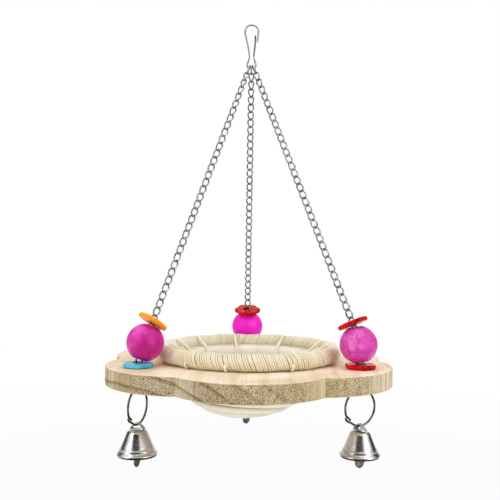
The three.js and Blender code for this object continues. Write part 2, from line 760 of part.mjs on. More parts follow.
// A flat tongue whose top curls round the loop inside the bell
function clapper(strand) {
  const eyeInner = loopWireRadius + 1.3 * touchGap;
  const eyeOuter = eyeInner + clapperEyeWall;
  const eye = revolved([
    [eyeInner, -clapperEyeWidth / 2],
    [eyeOuter, -clapperEyeWidth / 2],
    [eyeOuter, clapperEyeWidth / 2],
    [eyeInner, clapperEyeWidth / 2],
    [eyeInner, -clapperEyeWidth / 2],
  ], 10);
  eye.rotateY(Math.PI / 2);
  const top = -eyeInner - clapperEyeWall / 2;
  const outline = new THREE.Shape();
  outline.moveTo(-clapperNeckHalfWidth / 2, top);
  outline.lineTo(-clapperHalfWidth, -0.74 * clapperLength);
  outline.quadraticCurveTo(-0.75 * clapperHalfWidth, -0.93 * clapperLength, 0, -clapperLength);
  outline.quadraticCurveTo(0.75 * clapperHalfWidth, -0.93 * clapperLength,
    clapperHalfWidth, -0.74 * clapperLength);
  outline.lineTo(clapperNeckHalfWidth / 2, top);
  const tongue = new THREE.ExtrudeGeometry(outline, {
    depth: clapperThickness, curveSegments: 3, bevelEnabled: false,
  });
  tongue.translate(0, 0, -clapperThickness / 2).rotateX(Math.PI / 2);
  const mesh = named(`clapper_${strand.name}`, geometryOf(solidOf(eye).add(solidOf(tongue))), metal(0x8d8f92));
  mesh.position.z = clapperPivot;
  return mesh;
}

// Assembly

function strandGroup(strand) {
  const group = new THREE.Group();
  const path = chainPath(strand);
  const wooden = bead(strand, path);
  group.add(chain(strand, path), topDisc(strand, path, wooden.position), wooden, bottomDisc(strand));
  const hanging = new THREE.Group();
  hanging.position.copy(around(strand.azimuth, chainHoleCircle, ringTopHeight));
  hanging.rotation.z = radians(strand.ringTurn);
  hanging.add(ring(strand), hanger(strand), bell(strand), clapper(strand));
  group.add(hanging);
  return group;
}

function nest() {
  const group = new THREE.Group();
  const stations = bowlStations();
  group.add(rimCore(), rimWinding(), bowlCoil(stations));
  tieAzimuths.forEach((azimuth, i) => group.add(tie(i + 1, azimuth, stations)));
  return group;
}

const hangingNest = new THREE.Group();
hangingNest.add(hookWire(), hookGate());
const suspended = new THREE.Group();
suspended.position.z = -barDepth - chainDrop;
suspended.add(board(), nest());
strands.forEach((strand) => suspended.add(strandGroup(strand)));
hangingNest.add(suspended);

export default hangingNest;
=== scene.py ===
"""Looks for the hanging bird nest: every solid of the frame gets its finished shape and material.

The frame is in metres. Its origin lies inside the snap hook's bow, Z is up, Y runs to the rear and
X to the right as seen from the front. Shapes are worked out in millimetres from the middle of the
board's top, and the hook's from the origin.
"""

import json
import math

import bpy
import numpy as np
from bpy.props import FloatProperty, IntProperty, PointerProperty
from mathutils import Matrix, Vector


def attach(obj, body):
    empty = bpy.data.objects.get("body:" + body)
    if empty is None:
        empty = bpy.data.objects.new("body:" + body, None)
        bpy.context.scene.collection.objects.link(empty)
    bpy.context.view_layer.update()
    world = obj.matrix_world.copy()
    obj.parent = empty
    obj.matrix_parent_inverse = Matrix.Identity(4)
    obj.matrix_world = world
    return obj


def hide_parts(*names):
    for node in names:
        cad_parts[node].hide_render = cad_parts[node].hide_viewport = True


bl_info = {
    "name": "Hanging Bird Nest",
    "version": (1, 0, 0),
    "blender": (4, 5, 0),
    "location": "3D View > Sidebar > Bird Nest",
    "description": "Makes the finished pieces of a hanging bird nest over its solids",
    "category": "Object",
}

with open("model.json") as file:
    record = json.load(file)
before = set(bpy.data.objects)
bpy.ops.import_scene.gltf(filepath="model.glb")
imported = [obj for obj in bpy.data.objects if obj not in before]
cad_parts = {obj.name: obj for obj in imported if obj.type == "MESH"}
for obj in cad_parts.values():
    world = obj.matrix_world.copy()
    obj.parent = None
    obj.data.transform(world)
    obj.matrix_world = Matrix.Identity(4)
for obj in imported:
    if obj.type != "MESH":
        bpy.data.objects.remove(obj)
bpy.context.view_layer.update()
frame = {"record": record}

MM = 0.001
BOARD_TOP = -229.9
CLAPPER_TIPS = -62.9
HOOK_BAR = 201.0
HOLE_CIRCLE, HOLE_RADIUS = 81.3, 3.5
RING_TOP, RING_MEAN = -13.0, 11.55
# Azimuths and the rings' turns in degrees, the rest in millimetres
STRANDS = {
    "left": {"azimuth": 210, "bar": -1.5, "bend": 4.5, "ring": 67},
    "right": {"azimuth": 330, "bar": 1.5, "bend": 16.0, "ring": 28},
    "rear": {"azimuth": 90, "bar": 0.0, "bend": 8.0, "ring": 40},
}


def linear(colour):
    """sRGB hex to the linear RGBA that Blender's colour sockets take."""
    part = np.array([int(colour[i:i + 2], 16) for i in (1, 3, 5)]) / 255
    part = np.where(part <= 0.04045, part / 12.92, ((part + 0.055) / 1.055) ** 2.4)
    return (*part.tolist(), 1.0)


# ---- numpy shapes ----


def unit(vectors):
    """Each vector divided by its own length."""
    return vectors / np.maximum(np.linalg.norm(vectors, axis=-1, keepdims=True), 1e-12)


def xyz(x, y, z):
    """Points from their coordinates, each one an array or a number."""
    return np.stack(np.broadcast_arrays(x, y, z), -1)


def polar(angle, radius, height):
    """Points on circles about Z, from an angle in radians."""
    return xyz(radius * np.cos(angle), radius * np.sin(angle), height)


def around(azimuth, radius, height):
    """Points on circles about the board's centre, from an azimuth in degrees."""
    return polar(np.radians(azimuth), radius, height)


def full_turn(count):
    """Angles evenly spaced round a whole turn."""
    return 2 * np.pi * np.arange(count) / count


def travel(path):
    """The distance along a path from its start to each of its points."""
    return np.concatenate([[0], np.cumsum(np.linalg.norm(np.diff(path, axis=0), axis=1))])


def at_distance(rows, length, distance):
    """Rows that belong to a path's points, interpolated at other distances along it."""
    return np.stack([np.interp(distance, length, column) for column in rows.T], -1)


def smooth_path(points, per_span):
    """Centripetal Catmull-Rom curve through the points, blended from straight runs by knots
    spaced by the square root of the distance."""
    points = np.asarray(points, float)
    wide = np.vstack([2 * points[0] - points[1], points, 2 * points[-1] - points[-2]])
    p = [wide[i:len(wide) - 3 + i] for i in range(4)]
    step = [np.maximum(np.linalg.norm(p[i + 1] - p[i], axis=1) ** 0.5, 1e-6) for i in range(3)]
    k = [np.zeros(len(p[0])), step[0], step[0] + step[1], step[0] + step[1] + step[2]]
    t = k[1][:, None] + (k[2] - k[1])[:, None] * np.linspace(0, 1, per_span, endpoint=False)

    def between(a, b, low, high):
        part = ((t - low[:, None]) / (high - low)[:, None])[..., None]
        return a * (1 - part) + b * part

    q = [knot[:, None, :] for knot in p]
    first = [between(q[i], q[i + 1], k[i], k[i + 1]) for i in range(3)]
    second = [between(first[i], first[i + 1], k[i], k[i + 2]) for i in range(2)]
    curve = between(second[0], second[1], k[1], k[2]).reshape(-1, 3)
    return np.vstack([curve, points[-1]])


def carried(path, towards, section, closed=False):
    """A section carried along a path. Its first number runs along the side direction given for
    each point, squared to the path, and its second number across both. The path's direction at a
    point is the chord from the point before to the point after. Returns a grid of points."""
    if closed:
        ahead = unit(np.roll(path, -1, 0) - np.roll(path, 1, 0))
    else:
        ahead = unit(np.gradient(path, axis=0))
    towards = np.broadcast_to(np.asarray(towards, float), path.shape)
    side = unit(towards - ahead * np.sum(towards * ahead, -1, keepdims=True))
    across = np.cross(ahead, side)
    return path[:, None] + side[:, None] * section[..., :1] + across[:, None] * section[..., 1:]


def circle(radius, sides):
    """A round section, as side and across distances."""
    angle = full_turn(sides)
    return radius * np.stack([np.cos(angle), np.sin(angle)], -1)


def scaled(section, side, across):
    """A section at each point of a path, stretched by that point's side and across factors."""
    return section[None] * np.stack(np.broadcast_arrays(side, across), -1)[:, None]


def wire(path, radius, sides, tip):
    """A round wire along a path square to Y, its two ends narrowed to a share of its radius."""
    ends = np.ones(len(path))
    ends[[0, -1]] = tip
    return carried(path, (0, 1, 0), scaled(circle(radius, sides), ends, ends))


def slab(width, thickness, corner, per_corner=4):
    """A flat section with rounded corners: quarter circles about the four inner corners."""
    angle = np.linspace(0, np.pi / 2, per_corner)
    turns = np.concatenate([angle + i * np.pi / 2 for i in range(4)])
    sx = np.repeat([1, -1, -1, 1], per_corner)
    sy = np.repeat([1, 1, -1, -1], per_corner)
    return np.stack([sx * (width / 2 - corner) + corner * np.cos(turns),
                     sy * (thickness / 2 - corner) + corner * np.sin(turns)], -1)


def revolved(profile, segments):
    """A closed (radius, height) profile turned about Z. Returns a grid closed both ways."""
    radius, height = np.asarray(profile, float).T
    return polar(full_turn(segments)[:, None], radius, height)


def rounded(profile, sizes, steps=4):
    """Each corner of a closed outline turned into a short arc: a quadratic curve whose ends lie
    the given distance from the corner along its two sides."""
    profile = np.asarray(profile, float)
    sizes = np.broadcast_to(sizes, len(profile)).astype(float)
    before, after = np.roll(profile, 1, 0) - profile, np.roll(profile, -1, 0) - profile
    span = 0.45 * np.minimum(np.linalg.norm(before, axis=1), np.linalg.norm(after, axis=1))
    reach = np.minimum(sizes, span)[:, None]
    a, b = profile + unit(before) * reach, profile + unit(after) * reach
    t = np.linspace(0, 1, steps)[None, :, None]
    curve = a[:, None] * (1 - t) ** 2 + profile[:, None] * 2 * t * (1 - t) + b[:, None] * t ** 2
    return curve.reshape(-1, profile.shape[1])


def turned(points, azimuth, place):
    """Points turned about Z by an azimuth in degrees and then moved."""
    a = math.radians(azimuth)
    spin = np.array([[math.cos(a), -math.sin(a), 0], [math.sin(a), math.cos(a), 0], [0, 0, 1]])
    return points @ spin.T + place


def stood(points, place, axis):
    """Points turned so that their Z lies along the axis, by the shortest turn, then moved."""
    spin = np.array(Vector((0, 0, 1)).rotation_difference(Vector(axis)).to_matrix())
    return points @ spin.T + place


def grid_faces(rows, columns, closed):
    """Quads between neighbours in a grid whose columns close round it, and the flat faces on its
    two ends, unless its rows close as well."""
    i = np.arange(rows if closed else rows - 1)[:, None]
    j = np.arange(columns)[None, :]
    a, b = i * columns + j, i * columns + (j + 1) % columns
    c, d = (i + 1) % rows * columns + (j + 1) % columns, (i + 1) % rows * columns + j
    last = (rows - 1) * columns
    ends = [] if closed else [np.arange(columns)[::-1], last + np.arange(columns)]
    return np.stack([a, b, c, d], -1).reshape(-1, 4), ends


def volume_of(vertices, quads):
    """Six times the signed volume under the quads, for telling inside from outside."""
    a, b, c, d = (vertices[quads[:, k]] for k in range(4))
    return np.sum(a * (np.cross(b, c) + np.cross(c, d)))


def new_object(name, points, faces):
    """A mesh object in the scene, from points in metres."""
    mesh = bpy.data.meshes.new(name)
    mesh.from_pydata(np.asarray(points, float).tolist(), [], faces)
    made = bpy.data.objects.new(name, mesh)
    bpy.context.scene.collection.objects.link(made)
    return made


def sharp_edges(piece, degrees):
    """Shades faces that meet at more than this angle with a crisp edge."""
    piece.data.set_sharp_from_angle(angle=math.radians(degrees))


class Shape:
    """Grids gathered into one mesh in millimetres, with a UV map in metres along both ways."""

    def __init__(self):
        self.vertices, self.faces, self.uvs, self.count = [], [], [], 0

    def add(self, grid, closed=False, across=None):
        """Adds one grid of points, its faces turned outwards. Across gives the UV map's second
        number at each column, in millimetres, where it isn't the distance along a row."""
        rows, columns = grid.shape[:2]
        flat = grid.reshape(-1, 3)
        quads, ends = grid_faces(rows, columns, closed)
        flip = volume_of(flat - flat.mean(0), quads) < 0
        along = travel(grid.mean(1))
        if across is None:
            across = travel(grid[rows // 2])
        wide_u = np.append(along, along[-1] * rows / (rows - 1))
        wide_v = np.append(across, across[-1] * columns / (columns - 1))
        r, c = np.divmod(quads[:, 0], columns)
        u = wide_u[np.stack([r, r, r + 1, r + 1], -1)]
        v = wide_v[np.stack([c, c + 1, c + 1, c], -1)]
        uv = np.stack([u, v], -1) * MM
        if flip:
            quads, uv, ends = quads[:, ::-1], uv[:, ::-1], [end[::-1] for end in ends]
        self.vertices.append(flat)
        self.faces += (quads + self.count).tolist() + [(end + self.count).tolist() for end in ends]
        self.uvs.append(uv.reshape(-1, 2))
        for end in ends:
            r, c = np.divmod(end, columns)
            self.uvs.append(np.stack([wide_u[r], wide_v[c]], -1) * MM)
        self.count += len(flat)

    def object(self, name, place=(0, 0, BOARD_TOP)):
        """The gathered grids as a bare object, moved from the shape's origin to its place."""
        return new_object(name, (np.vstack(self.vertices) + place) * MM, self.faces)

    def piece(self, name, material, body, nodes, slot, place=(0, 0, BOARD_TOP), sharp=None):
        """Makes the mesh object, in place in the frame, ties it to its body and hides the solids it
        replaces.
        """
        made = self.object(name, place)
        mesh = made.data
        layer = mesh.uv_layers.new(name="surface")
        layer.data.foreach_set("uv", np.vstack(self.uvs).astype(np.float32).ravel())
        mesh.polygons.foreach_set("use_smooth", np.ones(len(mesh.polygons), bool))
        mesh.materials.append(material)
        mesh.update()
        if sharp:
            sharp_edges(made, sharp)
        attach(made, body)
        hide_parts(*nodes)
        return made


# ---- materials ----


def add(tree, kind, inputs=None, **settings):
    """Adds one node. Settings are its properties. Each input socket named by inputs takes another
    node's output, or a plain value."""
    made = tree.nodes.new(kind)
    for key, value in settings.items():
        setattr(made, key, value)
    feed(tree, made, inputs or {})
    return made


def feed(tree, node, inputs):
    """Links outputs to a node's input sockets and sets the others to plain values."""
    for key, value in inputs.items():
        if isinstance(value, bpy.types.NodeSocket):
            tree.links.new(value, node.inputs[key])
        else:
            node.inputs[key].default_value = value


def new_material(name):
    """An empty material with its output and one Principled shader."""
    made = bpy.data.materials.new(name)
    made.use_nodes = True
    tree = made.node_tree
    tree.nodes.clear()
    shader = add(tree, "ShaderNodeBsdfPrincipled")
    add(tree, "ShaderNodeOutputMaterial", {0: shader.outputs[0]})
    return made, tree, shader


def noise(tree, place, scale, detail, roughness=0.5):
    """A cloudy noise's outputs. Scale is how many clouds lie in a metre."""
    return add(tree, "ShaderNodeTexNoise", {"Vector": place, "Scale": scale, "Detail": detail,
                                            "Roughness": roughness}).outputs


def mapped(tree, place, scale=(1, 1, 1), shift=(0, 0, 0), turn=(0, 0, 0)):
    """Coordinates squeezed, turned and shifted."""
    return add(tree, "ShaderNodeMapping", {"Vector": place, "Scale": scale, "Location": shift,
                                           "Rotation": turn}).outputs[0]


def split(tree, vector):
    """A vector's three numbers."""
    return add(tree, "ShaderNodeSeparateXYZ", {0: vector}).outputs


def normal_of(tree):
    """The surface's direction, as three numbers."""
    return split(tree, add(tree, "ShaderNodeNewGeometry").outputs["Normal"])


def maths(tree, operation, *values):
    """One sum of outputs or plain values."""
    return add(tree, "ShaderNodeMath", dict(enumerate(values)), operation=operation).outputs[0]


def fade(tree, value, low, high, first=0.0, last=1.0):
    """First where the value is low, last where it is high, and straight between."""
    return add(tree, "ShaderNodeMapRange", {"Value": value, "From Min": low, "From Max": high,
                                            "To Min": first, "To Max": last}).outputs[0]


def mix(tree, factor, a, b, blend="MIX"):
    """Two colours mixed, or the first one multiplied by the second."""
    return add(tree, "ShaderNodeMix", {0: factor, 6: a, 7: b}, data_type="RGBA",
               blend_type=blend).outputs[2]


def ramp(tree, factor, *stops):
    """A colour ramp through (place, hex colour) stops."""
    made = add(tree, "ShaderNodeValToRGB", {0: factor})
    elements = made.color_ramp.elements
    while len(elements) < len(stops):
        elements.new(0.5)
    for element, (position, colour) in zip(elements, stops):
        element.position = position
        element.color = linear(colour)
    return made.outputs[0]


def bump(tree, height, strength, distance):
    """A normal that follows a height. Distance is in metres."""
    return add(tree, "ShaderNodeBump", {"Height": height, "Strength": strength,
                                        "Distance": distance}).outputs[0]


def nickel(name, light, dark, low, high, scale, lines=0.0):
    """Nickel plate over drawn or spun steel: bright metal, faintly mottled by handling, its gloss
    broken by fine scuffs and, on spun work, by fine lines round the axis."""
    made, tree, shader = new_material(name)
    place = add(tree, "ShaderNodeTexCoord").outputs
    cloud = noise(tree, place["Object"], scale, 4.0)["Fac"]
    feed(tree, shader, {"Base Color": ramp(tree, cloud, (0.35, dark), (0.62, light)),
                        "Roughness": fade(tree, cloud, 0.3, 0.7, low, high), "Metallic": 1.0})
    if lines:
        rings = noise(tree, mapped(tree, place["UV"], (0.02, 1, 1)), lines, 3.0)["Fac"]
        feed(tree, shader, {"Normal": bump(tree, rings, 0.25, 0.00004)})
    return made


def sanded_pine(name):
    """Pine, sawn and sanded: the flat faces are pale with faint long grain, the front and rear
    edges are greyish end grain full of pores, the side edges show upright saw marks, and a few
    reddish growth rings slope through all of them."""
    made, tree, shader = new_material(name)
    place = add(tree, "ShaderNodeTexCoord").outputs["Object"]
    normal = normal_of(tree)
    flat = fade(tree, maths(tree, "ABSOLUTE", normal["Z"]), 0.45, 0.85)
    sawn = fade(tree, maths(tree, "ABSOLUTE", normal["X"]), 0.55, 0.85)
    # Growth rings 9 mm apart about a pith 0.14 m below the board's left side, along Y
    pith = mapped(tree, place, shift=(0.080, 0, 0.371), turn=(0, 0, 0.07))
    wave = add(tree, "ShaderNodeTexWave", {"Vector": pith, "Scale": 35.0, "Distortion": 1.1,
                                           "Detail": 2.0, "Detail Scale": 1.0,
                                           "Detail Roughness": 0.5},
               wave_type="RINGS", rings_direction="Y", wave_profile="SAW").outputs["Fac"]
    top = ramp(tree, wave, (0.0, "#F8E9D0"), (0.6, "#FAEDD8"), (0.88, "#F0DAB6"), (1.0, "#F5E3C6"))
    banded = ramp(tree, wave, (0.0, "#DAD2BE"), (0.7, "#D4C9B1"), (0.9, "#A68A6A"),
                  (1.0, "#D0C2A6"))
    # The rings come out on the edge's left third and fade away to the right
    hidden = fade(tree, split(tree, place)["X"], -0.022, 0.03, 0.0, 0.95)
    board = mix(tree, flat, mix(tree, hidden, banded, linear("#ECE2C9")), top)
    # Long fibres, 1.2 mm wide so that they show, run from front to rear on the flat faces
    fibre = noise(tree, mapped(tree, place, (1, 0.05, 1)), 820.0, 4.0, 0.6)["Fac"]
    grain = ramp(tree, fibre, (0.34, "#DCC8A4"), (0.52, "#FFFFFF"))
    board = mix(tree, maths(tree, "MULTIPLY", flat, 0.32), board, grain, "MULTIPLY")
    # Pores and torn fibre ends: brown pits and pale flecks half a millimetre across
    pore = noise(tree, mapped(tree, place, (1, 1, 0.6)), 2000.0, 2.0, 0.7)["Fac"]
    pits = ramp(tree, pore, (0.33, "#55452F"), (0.42, "#B3A588"), (0.51, "#DFD6C2"),
                (0.61, "#FFFFFF"))
    # Upright saw marks, about 3 mm apart, strongest on the side edges
    saw = noise(tree, mapped(tree, place, (1, 1, 0.03)), 420.0, 3.0, 0.65)["Fac"]
    marks = ramp(tree, saw, (0.34, "#BCA688"), (0.5, "#F2E8D6"), (0.62, "#FFFFFF"))
    rough_edge = mix(tree, sawn, mix(tree, 0.35, pits, marks, "MULTIPLY"), marks)
    board = mix(tree, maths(tree, "SUBTRACT", 1.0, flat), board, rough_edge, "MULTIPLY")
    # Pale and greyer patches a few centimetres wide
    patch = ramp(tree, noise(tree, place, 30.0, 3.0)["Fac"], (0.35, "#E9E0CF"), (0.6, "#FFFFFF"))
    relief = add(tree, "ShaderNodeMix", {0: flat, 2: pore, 3: fibre}).outputs[0]
    feed(tree, shader, {"Base Color": mix(tree, 0.8, board, patch, "MULTIPLY"), "Roughness": 0.75,
                        "IOR": 1.5, "Specular IOR Level": 0.3,
                        "Normal": bump(tree, relief, 0.3, 0.0002)})
    return made


def dyed_wood(name, body, deep, pale, crackle=0.0):
    """Turned wood soaked in dye: satin, the colour deeper along the grain and worn paler in spots,
    with hairline cracks in the dye where it dried fast."""
    made, tree, shader = new_material(name)
    place = add(tree, "ShaderNodeTexCoord").outputs["Object"]
    cloud = noise(tree, place, 75.0, 3.0)
    base = ramp(tree, cloud["Fac"], (0.36, deep), (0.5, body), (0.64, pale))
    along = mapped(tree, place, (1, 1, 0.16), turn=(0.3, 0.4, 0))
    grain = noise(tree, along, 520.0, 4.0, 0.6)["Fac"]
    streak = ramp(tree, grain, (0.36, "#E0A8D0"), (0.5, "#FFFFFF"))
    colour = mix(tree, 0.4, base, streak, "MULTIPLY")
    # Cells 5 mm wide, bent by the cloud so that no line runs straight
    bent = add(tree, "ShaderNodeVectorMath", {0: cloud["Color"], 1: (0.02, 0.02, 0.02), 2: place},
               operation="MULTIPLY_ADD").outputs[0]
    cells = add(tree, "ShaderNodeTexVoronoi", {"Vector": bent, "Scale": 180.0},
                feature="DISTANCE_TO_EDGE").outputs["Distance"]
    crack = ramp(tree, cells, (0.0, "#CC7CB6"), (0.12, "#FFFFFF"))
    feed(tree, shader, {"Base Color": mix(tree, crackle, colour, crack, "MULTIPLY"),
                        "Roughness": 0.45, "IOR": 1.5, "Specular IOR Level": 0.35,
                        "Normal": bump(tree, grain, 0.2, 0.00015)})
    return made


def tinted_plastic(name, body, deep):
    """Injection-moulded tinted acrylic: hard gloss, light glowing a little through the petals, and
    faint flow marks from the mould."""
    made, tree, shader = new_material(name)
    flow = noise(tree, add(tree, "ShaderNodeTexCoord").outputs["Object"], 190.0, 3.0)["Fac"]
    feed(tree, shader, {"Base Color": ramp(tree, flow, (0.36, deep), (0.6, body)),
                        "Roughness": 0.2, "IOR": 1.49, "Specular IOR Level": 0.1,
                        "Subsurface Weight": 0.15, "Subsurface Radius": (0.004, 0.001, 0.001),
                        "Subsurface Scale": 0.5, "Normal": bump(tree, flow, 0.18, 0.0003)})
    return made


def cotton(name, light, shade, ply_slant, thread, girth=1.0, groove_shade_colour=None, groove_width=1.0,
           stain=False):
    """Unbleached cotton cord: soft, matt, cream, with a ply of twisted yarn that runs slantwise
    round it and a haze of short fibres. The colour carries painted shade between the yarns and,
    where a groove colour is given, painted shade where turns press on each other, weaker on the
    upward sides. Thread is one yarn's width in metres. Girth is how many metres one unit of the UV
    map's second number stands for."""
    made, tree, shader = new_material(name)
    place = add(tree, "ShaderNodeTexCoord").outputs
    cloud = noise(tree, place["Object"], 75.0, 5.0)["Fac"]
    fuzz = noise(tree, place["Object"], 1700.0, 3.0)["Fac"]
    slant = mapped(tree, place["UV"], (1, girth, 1), turn=(0, 0, ply_slant))
    # One wave per yarn: a wave texture's bands lie 0.314 apart at scale 1
    ply = add(tree, "ShaderNodeTexWave", {"Vector": slant, "Scale": 0.314 / thread,
                                          "Distortion": 1.5, "Detail": 2.0}).outputs["Fac"]
    # Painted shade: the colour darkens in the hollows between the twisted yarns
    ply_furrow_shade = ramp(tree, ply, (0.0, "#DDD0B0"), (0.4, "#FFFFFF"))
    colour = ramp(tree, cloud, (0.32, shade), (0.58, light))
    colour = mix(tree, 0.45, colour, ply_furrow_shade, "MULTIPLY")
    if groove_shade_colour:
        # Painted shade at the groove: the UV map's second number runs once round the cord, so its
        # cosine twice over is lowest, and the colour darkest, on the two sides that touch the
        # neighbouring turns
        phase = maths(tree, "MULTIPLY", split(tree, place["UV"])["Y"], 4 * math.pi)
        painted_shade = maths(tree, "ADD", maths(tree, "COSINE", phase), fuzz)
        painted_groove_tone = ramp(tree, fade(tree, painted_shade, -0.5, 1.5), (0.03, groove_shade_colour),
                    (0.2 * groove_width, "#EFE7D2"), (0.36 * groove_width, "#FFFFFF"))
        # The painted groove shade is weaker on the upward sides, which light reaches more easily
        share = fade(tree, normal_of(tree)["Z"], 0.15, 0.85, 1.0, 0.4)
        colour = mix(tree, share, colour, painted_groove_tone, "MULTIPLY")
    if stain:
        # Dye from the left bead has rubbed off on a thumb-wide patch of the rim
        spot = mapped(tree, place["Object"], shift=(0.0565, 0.0235, 0.2225))
        far = add(tree, "ShaderNodeVectorMath", {0: spot}, operation="LENGTH").outputs["Value"]
        patchy = maths(tree, "MULTIPLY", fade(tree, far, 0.011, 0.002, 0.0, 0.7), fuzz)
        colour = mix(tree, patchy, colour, linear("#D98A92"))
    height = maths(tree, "ADD", ply, fuzz)
    feed(tree, shader, {"Base Color": colour, "Roughness": 0.92, "Sheen Weight": 0.2,
                        "Sheen Roughness": 0.5, "Specular IOR Level": 0.25,
                        "Normal": bump(tree, height, 0.5, 0.0002)})
    return made


# ---- sizes that a user would change ----


class WireSizes(bpy.types.PropertyGroup):
    """Wire of the hook, the chains and the rings."""

    hook_wire: FloatProperty(name="Hook wire", description="Diameter of the snap hook's wire",
                             default=0.0012, unit="LENGTH")
    link_wire: FloatProperty(name="Link wire", description="Diameter of the chain's wire",
                             default=0.00108, unit="LENGTH")
    link_width: FloatProperty(name="Link width", description="Outer width of one link",
                              default=0.0049, unit="LENGTH")
    link_pitch: FloatProperty(name="Link pitch", description="Distance from one link to the next",
                              default=0.00533, unit="LENGTH")
    ring_wire: FloatProperty(name="Ring wire", description="Diameter of the ring's wire",
                             default=0.0014, unit="LENGTH")


class WoodSizes(bpy.types.PropertyGroup):
    """Board and beads."""

    board_thickness: FloatProperty(name="Board thickness",
                                   description="Thickness of the pine board",
                                   default=0.012, unit="LENGTH")
    edge_round: FloatProperty(name="Edge rounding",
                              description="Radius sanded on the board's edges",
                              default=0.0011, unit="LENGTH")
    bead_diameter: FloatProperty(name="Bead diameter", description="Diameter of a wooden bead",
                                 default=0.024, unit="LENGTH")


class NestSizes(bpy.types.PropertyGroup):
    """Winding and coil of the nest."""

    wraps: IntProperty(name="Wraps", description="Turns of cotton round the rim",
                       default=252, min=24)
    wrap_thickness: FloatProperty(name="Wrap thickness",
                                  description="Thickness of the flattened wrap",
                                  default=0.0016, unit="LENGTH")
    cord_diameter: FloatProperty(name="Bowl cord",
                                 description="Diameter of the padded cord of the bowl",
                                 default=0.0092, unit="LENGTH")


class BellSizes(bpy.types.PropertyGroup):
    """Bells and clappers."""

    shell: FloatProperty(name="Shell", description="Thickness of the bell's sheet",
                         default=0.0007, unit="LENGTH")
    bell_radius: FloatProperty(name="Lip radius", description="Radius of the bell at its lip",
                               default=0.01295, unit="LENGTH")


GROUPS = {
    "wire_sizes": WireSizes,
    "wood_sizes": WoodSizes,
    "nest_sizes": NestSizes,
    "bell_sizes": BellSizes,
}


# ---- hook ----


class NEST_OT_hook(bpy.types.Operator):
    """Bends the snap hook and its gate leg out of round wire."""

    bl_idname = "nest.hook"
    bl_label = "Snap hook"

    def execute(self, context):
        metal = nickel("plated spring wire, drawn", "#B4B6B8", "#8E9093", 0.2, 0.35, 250.0)
        # The gate's wire is a darker copy of the hook's plated wire: painted shade on the gate
        painted_shade = nickel("plated spring wire, rubbed by the hook's tip", "#84868A", "#5E6064",
                      0.25, 0.4, 250.0)
        angle = np.radians(np.arange(-10, 191, 25))
        bow = xyz(4.6 * np.cos(angle), 0, -4.0 + 4.6 * np.sin(angle))
        eye = [(-1.45, 0, -21.6), (-3, 0, -26.98), (-2.7, 0, -28.54), (-1.8, 0, -28.9),
               (0, 0, -28.9), (1.8, 0, -28.9), (2.7, 0, -28.54), (3, 0, -26.98), (1.5, 0, -21.8)]
        path = smooth_path(np.vstack([[(4, 0, -11.3)], bow, eye]), 8)
        leg = smooth_path([(1.47, 0, -21.4), (2.0, 0, -16.45), (2.5, 0, -11.3), (2.6, 0, -6.6)], 10)
        self.bend(context, "snap_hook_wire", path, metal, "hook", "hook_wire")
        self.bend(context, "snap_hook_gate", leg, painted_shade, "gate", "hook_gate")
        return {"FINISHED"}

    def bend(self, context, name, path, metal, body, node):
        """One wire of the hook, its two ends cut square with a slight burr radius."""
        shape = Shape()
        shape.add(wire(path, context.scene.wire_sizes.hook_wire / MM / 2, 14, 0.8))
        shape.piece(name, metal, body, [node], "hook_wire", place=(0, 0, 0), sharp=50)


# ---- chains ----


def chain_path(strand):
    """The chain's line: straight from the hook's bar, a quadratic bend over the bead, straight
    down through the board to the ring."""
    bend = around(strand["azimuth"], HOLE_CIRCLE, strand["bend"])
    end = around(strand["azimuth"], HOLE_CIRCLE, RING_TOP - 1.0)
    bar = np.array([strand["bar"], 0, HOOK_BAR])
    lean = unit(bend - bar)
    start = bar - lean * 0.9
    reach = 30 * math.tan(math.acos(float(-lean[2])) / 2)
    above, below = bend - lean * reach, bend + np.array([0, 0, -reach])
    t = np.linspace(0, 1, 400)[:, None]
    curve = above * (1 - t) ** 2 + bend * 2 * t * (1 - t) + below * t ** 2
    return np.vstack([start + (above - start) * t, curve[1:], below + (end - below) * t[1:]])


